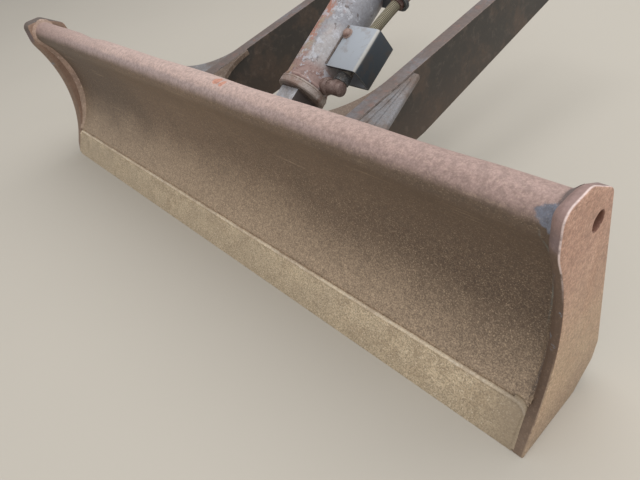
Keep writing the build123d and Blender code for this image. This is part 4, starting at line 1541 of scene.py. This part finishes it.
@dataclass
class Back:
    """Folded beam, upright ribs, ears and what holds the ram's base pin."""

    ribs: tuple = (-480.0, -110.0, 110.0, 480.0)
    rib_thick: float = 10.0

    def build(self) -> None:
        """Make the pieces behind the face."""
        deliver(rounded_copy("back_beam", 1.5), "beam", "blade", "back", ("back_beam",))
        for number, across in enumerate(self.ribs, 1):
            deliver(rounded_copy(f"back_rib_{number}", 1.2), f"rib_{number}", "blade", "back",
                    (f"back_rib_{number}",))
            self.rib_weld(number, across)
        for side in Side:
            deliver(rounded_copy(f"ram_ear_{side.word}", 1.8), f"ear_{side.word}", "blade",
                    "ear", (f"ram_ear_{side.word}",))
            self.ear_weld(side)
        deliver(rounded_copy("ram_pin", 1.5), "base_pin", "blade", "bush", ("ram_pin",))
        deliver(rounded_copy("pin_keeper", 1.0), "keeper", "blade", "ear", ("pin_keeper",))
        deliver(rounded_copy("keeper_bolt", 0.8), "keeper_screw", "blade", "bolt",
                ("keeper_bolt",))

    def rib_weld(self, number: int, across: float) -> None:
        """Weld a rib to the beam's top."""
        for side in (-1, 1):
            x = across + side * self.rib_thick / 2
            obj = Bead("rib_weld", 3.2, 6.0).straight(at(x, 98, 190.5), at(x, 140, 184.5))
            deliver(obj, f"rib_weld_{number}_{'left' if side > 0 else 'right'}", "blade",
                    "seam", angle=60)

    def ear_weld(self, side: Side) -> None:
        """Weld an ear to the beam's web."""
        x = side.value * 44.5
        obj = Bead("ear_weld", 3.8, 6.0).straight(at(x, 152.5, 178), at(x, 165, 94))
        deliver(obj, f"ear_weld_{side.word}", "blade", "seam", angle=60)


@dataclass
class Ram:
    """Lift ram: lug, cap, barrel and gland on one body, rod and eye on the other."""

    cap: tuple = (60.0, 80.0, 57.0)
    barrel_radius: float = 52.5
    barrel_end: float = 350.0
    wall: float = 10.0
    rod_radius: float = 22.5

    def build(self) -> None:
        """Make the ram's pieces."""
        place = ram_matrix()
        start, end, radius = self.cap
        profile = [(start, 0), (start, radius - 2.5), (start + 1.5, radius - 1), (start + 3, radius)]
        for middle in (start + 14.5,):
            profile += [(middle - 1.2, radius), (middle - 0.6, radius - 1.0), (middle + 0.6, radius - 1.0),
                        (middle + 1.2, radius)]
        profile += [(end - 3, radius), (end - 1.2, radius - 0.6), (end, radius - 2.2), (end, 0)]
        deliver(lathe("cap", profile, place, 64), "cap_ring", "barrel", "cap", ("cap_end",), 30)
        r, w = self.barrel_radius, self.wall
        profile = [(end, r - w), (end, r), (end + 1.5, r + 1.8), (end + 4, r + 2.2), (end + 6.5, r + 1.2),
                   (end + 8, r)]
        profile += [(s, r) for s in (140, 210, 280)]
        profile += [(self.barrel_end - 1, r), (self.barrel_end, r - 1), (self.barrel_end, r - w),
                    (end, r - w)]
        deliver(lathe("tube", profile, place, 72), "barrel", "barrel", "barrel",
                ("barrel_tube",), 30)
        deliver(rounded_copy("gland_nut", 0.8), "gland", "barrel", "gland", ("gland_nut",), 30)
        deliver(rounded_copy("base_lug", 2.5), "lug", "barrel", "lug", ("base_lug",))
        deliver(rounded_copy("rod_eye", 2.5), "eye", "rod", "eye", ("rod_eye",))
        profile = [(206, 0), (206, 22.5), (464, 22.5), (466, 21.5), (466, 0)]
        deliver(lathe("rod", profile, place, 64), "rod_bar", "rod", "chrome",
                ("piston_rod",), 30)
        for along, body, word in ((14.0, "barrel", "base"), (520.0, "rod", "rod")):
            self.nipple(along, body, word)
        dress("piston", "bush")
        dress("base_bush", "bush")
        dress("rod_eye_bush", "bush")
        self.ring_weld(place)

    def nipple(self, along: float, body: str, word: str) -> None:
        """Grease nipple under an eye."""
        profile = [(0, 0), (0, 4.0), (2.5, 4.0), (3.0, 2.6), (5.0, 2.4), (6.0, 3.2), (8.2, 2.8), (9.0, 1.4),
                   (9.0, 0)]
        turn = Matrix.Translation((0, along * MM, -38.3 * MM)) @ Matrix.Rotation(-math.pi / 2, 4, "X")
        obj = lathe("nipple", profile, ram_matrix() @ turn, 16)
        deliver(obj, f"nipple_{word}", body, "bush", (f"grease_nipple_{word}",), 30)

    def ring_weld(self, place: Matrix) -> None:
        """Weld of the lug to the cap."""
        route = [(-27, 36), (27, 36), (27, -36), (-27, -36), (-27, 36)]
        points = [place @ (Vector((x, 59.5, z)) * MM) for x, z in route]
        obj = Bead("lug_weld", 3.6, 6.0).run(points)
        deliver(obj, "lug_weld", "barrel", "seam", angle=60)


@dataclass
class HoseSide:
    """Feed elbow, folded guard, braided hose and its upper fitting."""

    elbow_radius: float = 14.5
    port: float = 98.0
    reach: float = 92.0
    bend: float = 20.0
    guard: tuple = (132.0, 235.0)
    guard_thick: float = 6.0
    route: tuple = ((92.0, 160.0, 0.0), (92.0, 230.0, 0.0), (95.0, 282.0, -5.0), (98.0, 322.0, -12.0))
    hose_radius: float = 12.0

    def build(self) -> None:
        """Make the pieces on the barrel's left side."""
        self.elbow()
        self.swivel()
        self.guard_plate()
        self.bolt()
        self.ferrule()
        self.hose()
        deliver(rounded_copy("hose_coupling", 1.0), "union_nut", "barrel", "union",
                ("hose_coupling",), 30)
        deliver(rounded_copy("hose_bracket", 1.2), "hose_plate", "barrel", "guard",
                ("hose_bracket",), 30)

    def elbow(self) -> None:
        """Boss on the barrel, tube and its bend along the barrel."""
        Bench.clear()
        bpy.ops.mesh.primitive_circle_add(vertices=32, radius=16 * MM, fill_type="NGON",
                                          location=(46 * MM, self.port * MM, 0),
                                          rotation=(0, math.pi / 2, 0))
        obj = bpy.context.active_object
        bpy.ops.object.transform_apply(location=True, rotation=True, scale=True)
        Bench.open(obj)
        bpy.ops.mesh.select_all(action="SELECT")
        r = self.elbow_radius
        moves = ((16.5, 20.0), (2.2, 19.4), (3.0, 17.2), (0.6, r + 0.6), (0.8, r), (0.6, r), (0.3, r))
        at_x, size = 46.0, 16.0
        for step, radius in moves:
            at_x = self.push(step, radius / size, at_x)
            size = radius
        corner = (self.reach - self.bend) - at_x
        at_x = self.push(corner, 1.0, at_x)
        bpy.ops.mesh.spin(steps=10, angle=-math.pi / 2, axis=(0, 0, 1),
                          center=Vector((self.reach - self.bend, self.port + self.bend, 0)) * MM)
        Bench.clear()
        obj.matrix_world = ram_matrix()
        deliver(obj, "elbow", "barrel", "elbow", ("port_elbow",), 30)
        profile = [(60, 0), (60, 15.0), (101, 15.6), (104.5, 14.4), (106.5, 11.0), (107.2, 6.0), (107.4, 0)]
        turn = Matrix.Translation(Vector((0, self.port, 0)) * MM) @ Matrix.Rotation(-math.pi / 2, 4, "Z")
        deliver(lathe("elbow_end", profile, ram_matrix() @ turn, 32), "elbow_end", "barrel",
                "elbow", (), 30)

    def push(self, step: float, factor: float, at_x: float) -> float:
        """Extrude the pipe's open face along X and size it; returns its new place."""
        bpy.ops.mesh.extrude_region_move(TRANSFORM_OT_translate={"value": (step * MM, 0, 0)})
        centre = Vector((at_x + step, self.port, 0)) * MM
        bpy.ops.transform.resize(value=(1, factor, factor), center_override=centre)
        return at_x + step

    def swivel(self) -> None:
        """Slate swivel sleeve between the elbow and the hose."""
        r = self.elbow_radius
        base = ram_matrix() @ Matrix.Translation(Vector((self.reach, 0, 0)) * MM)
        profile = [(112, 0), (112, r + 0.8), (113.2, r + 2.0), (127, r + 2.0), (128.5, r + 1.0),
                   (131.5, r + 1.0), (131.5, 0)]
        deliver(lathe("collar", profile, base, 32), "swivel_collar", "barrel", "slate",
                (), 30)

    def guard_plate(self) -> None:
        """Fold the guard and round its rims."""
        start, end = self.guard
        strip = Strip("guard", end - start, 0, (40.0, 25.0))
        for corner, centre, turn in (((125.0, 25.0), (125.0, 16.0), -90), ((134.0, -36.0), (125.0, -36.0), -90)):
            strip.line(corner).arc(centre, turn, 6)
        strip.line((26.0, -45.0))
        obj = strip.done()
        swap = Matrix(((0, 1, 0, 0), (1, 0, 0, (start + end) / 2 * MM), (0, 0, 1, 0), (0, 0, 0, 1)))
        Bench.open(obj)
        bpy.ops.mesh.select_all(action="SELECT")
        bpy.ops.mesh.remove_doubles(threshold=2e-5)
        bpy.ops.mesh.normals_make_consistent(inside=False)
        shape = bmesh.from_edit_mesh(obj.data)
        middle = at(0, 80, -10)
        if sum(f.normal.dot(f.calc_center_median() - middle) for f in shape.faces) < 0:
            bpy.ops.mesh.flip_normals()
        Bench.modify(obj, "SOLIDIFY", thickness=self.guard_thick * MM, offset=-1.0, use_even_offset=True)
        Bench.bevel(obj, 1.0, 2, 50)
        obj.matrix_world = ram_matrix() @ swap @ Matrix.Translation(-at(0, 0, 0))
        deliver(obj, "hose_guard_plate", "barrel", "guard", ("hose_guard",), 30)
        base = ram_matrix()
        for word, x, z in (("top", 47.0, 25.5), ("foot", 28.5, -45.5)):
            ends = [base @ (Vector((x, s, z)) * MM) for s in (start + 3, end - 3)]
            weld = Bead("guard_weld", 3.0, 6.0).straight(*ends)
            deliver(weld, f"guard_weld_{word}", "barrel", "seam", angle=60)

    def bolt(self) -> None:
        """Rounded, rusted bolt head on the guard."""
        profile = [(0, 0), (0, 12.0), (1.6, 12.0), (2.2, 9.6), (5.5, 9.4), (7.6, 8.2), (8.8, 5.6), (9.0, 0)]
        turn = Matrix.Translation(Vector((56, 213, 25)) * MM) @ Matrix.Rotation(math.pi / 2, 4, "X")
        obj = lathe("bolt", profile, ram_matrix() @ turn, 28)
        deliver(obj, "guard_bolt_head", "barrel", "bolt", ("guard_bolt",), 40)

    def ferrule(self) -> None:
        """Crimped sleeve with light and dark rings."""
        base = ram_matrix() @ Matrix.Translation(Vector((self.reach, 0, 0)) * MM)
        profile = [(122, 0), (122, 13.2), (123, 14.4), (129, 14.4), (130, 12.8), (133, 12.8), (134, 14.6),
                   (139, 14.6), (140, 13.6), (142, 13.6), (143, 14.6), (148, 14.6), (149, 13.6),
                   (151, 13.6), (152, 14.6), (158, 14.6), (160, 13.2), (160, 0)]
        deliver(lathe("ferrule", profile, base, 40), "ferrule", "barrel", "ferrule",
                ("hose_ferrule",), 30)

    def hose(self) -> None:
        """Braided hose on a smooth line, with its length and girth in the UV map."""
        curve = bpy.data.curves.new("hose_line", "CURVE")
        curve.dimensions = "3D"
        curve.resolution_u = 16
        line = curve.splines.new("NURBS")
        line.points.add(len(self.route) - 1)
        for point, place in zip(line.points, self.route):
            point.co = (*(Vector(place) * MM), 1.0)
        line.order_u = 3
        line.use_endpoint_u = True
        holder = bpy.data.objects.new("hose_line", curve)
        bpy.context.scene.collection.objects.link(holder)
        path = [v.co.copy() for v in bpy.data.meshes.new_from_object(holder).vertices]
        bpy.data.objects.remove(holder)
        sides, verts, faces, run = 32, [], [], 0.0
        lengths = [0.0]
        for a, b in zip(path, path[1:]):
            run += (b - a).length
            lengths.append(run)
        for k, point in enumerate(path):
            ahead = (path[min(k + 1, len(path) - 1)] - path[max(k - 1, 0)]).normalized()
            up = Vector((0, 0, 1))
            out = ahead.cross(up).normalized()
            up = out.cross(ahead)
            for s in range(sides):
                turn = 2 * math.pi * s / sides
                verts.append(point + (out * math.cos(turn) + up * math.sin(turn)) * self.hose_radius * MM)
        for k in range(len(path) - 1):
            for s in range(sides):
                n = (s + 1) % sides
                faces.append((k * sides + s, k * sides + n, (k + 1) * sides + n, (k + 1) * sides + s))
        faces += [tuple(range(sides))[::-1], tuple((len(path) - 1) * sides + s for s in range(sides))]
        mesh = bpy.data.meshes.new("hose")
        mesh.from_pydata(verts, [], faces)
        layer = mesh.uv_layers.new(name="girth_and_length")
        girth = 2 * math.pi * self.hose_radius * MM
        for face in mesh.polygons:
            ring = [v % sides for v in face.vertices]
            for loop, vertex, s in zip(face.loop_indices, face.vertices, ring):
                wrap = sides if s == 0 and max(ring) == sides - 1 else 0
                layer.data[loop].uv = (girth * (s + wrap) / sides, lengths[vertex // sides])
        obj = bpy.data.objects.new("hose", mesh)
        bpy.context.scene.collection.objects.link(obj)
        obj.matrix_world = ram_matrix()
        log.info("hose length %.0f mm", run / MM)
        deliver(obj, "hose", "barrel", "braid", ("feed_hose",), 60)


@dataclass
class Studio:
    """Camera, lamps and floor."""

    eye: tuple = (0.90458, -1.33631, 0.37889)
    turn: tuple = (50.3506, 10.2971, 46.8625)
    lens: float = 29.70
    ground: float = -0.30746

    def camera(self) -> None:
        """Place the camera."""
        data = bpy.data.cameras.new("camera")
        data.sensor_width, data.lens = 36.0, self.lens
        obj = bpy.data.objects.new("camera", data)
        obj.location = self.eye
        obj.rotation_euler = Euler([math.radians(a) for a in self.turn], "XYZ")
        bpy.context.scene.collection.objects.link(obj)
        bpy.context.scene.camera = obj

    def lamp(self, name: str, place: tuple, aim: tuple, size: float, power: float) -> None:
        """Hang one soft box.

        Args:
            name: Name of the lamp.
            place: Where it hangs, in metres.
            aim: Point that it looks at.
            size: Side of the square, in metres.
            power: Power in watts.
        """
        data = bpy.data.lights.new(name, "AREA")
        data.shape, data.size, data.energy = "SQUARE", size, power
        obj = bpy.data.objects.new(name, data)
        obj.location = place
        obj.rotation_euler = (Vector(aim) - Vector(place)).to_track_quat("-Z", "Y").to_euler()
        bpy.context.scene.collection.objects.link(obj)

    def floor(self) -> None:
        """Lay the floor."""
        Bench.clear()
        bpy.ops.mesh.primitive_plane_add(size=14, location=(0, 0, self.ground))
        obj = bpy.context.active_object
        obj.name = "floor"
        Bench.settle(obj)
        obj.data.materials.append(finish("floor"))

    def build(self) -> None:
        """Set up the whole studio."""
        self.camera()
        world = bpy.data.worlds.new("soft_sky")
        world.use_nodes = True
        world.node_tree.nodes["Background"].inputs[0].default_value = (1.0, 0.99, 0.98, 1.0)
        world.node_tree.nodes["Background"].inputs[1].default_value = 0.55
        bpy.context.scene.world = world
        self.lamp("sky_box", (0.3, 0.4, 3.2), (0, -0.5, 0), 3.6, 76.0)
        self.lamp("side_box", (2.6, -1.2, 1.6), (0, -0.6, 0), 2.0, 16.0)
        self.lamp("front_box", (0.8, -3.2, 1.4), (0, -0.9, -0.1), 2.0, 10.0)
        self.floor()
        bpy.context.scene.view_settings.view_transform = "Standard"


def main() -> None:
    """Build every piece in order and set the scene."""
    logging.basicConfig(level=logging.INFO, format="%(name)s: %(message)s")
    Studio().build()
    Blade().build()
    PushArms().build()
    Back().build()
    Ram().build()
    HoseSide().build()


if __name__ == "__main__":
    main()
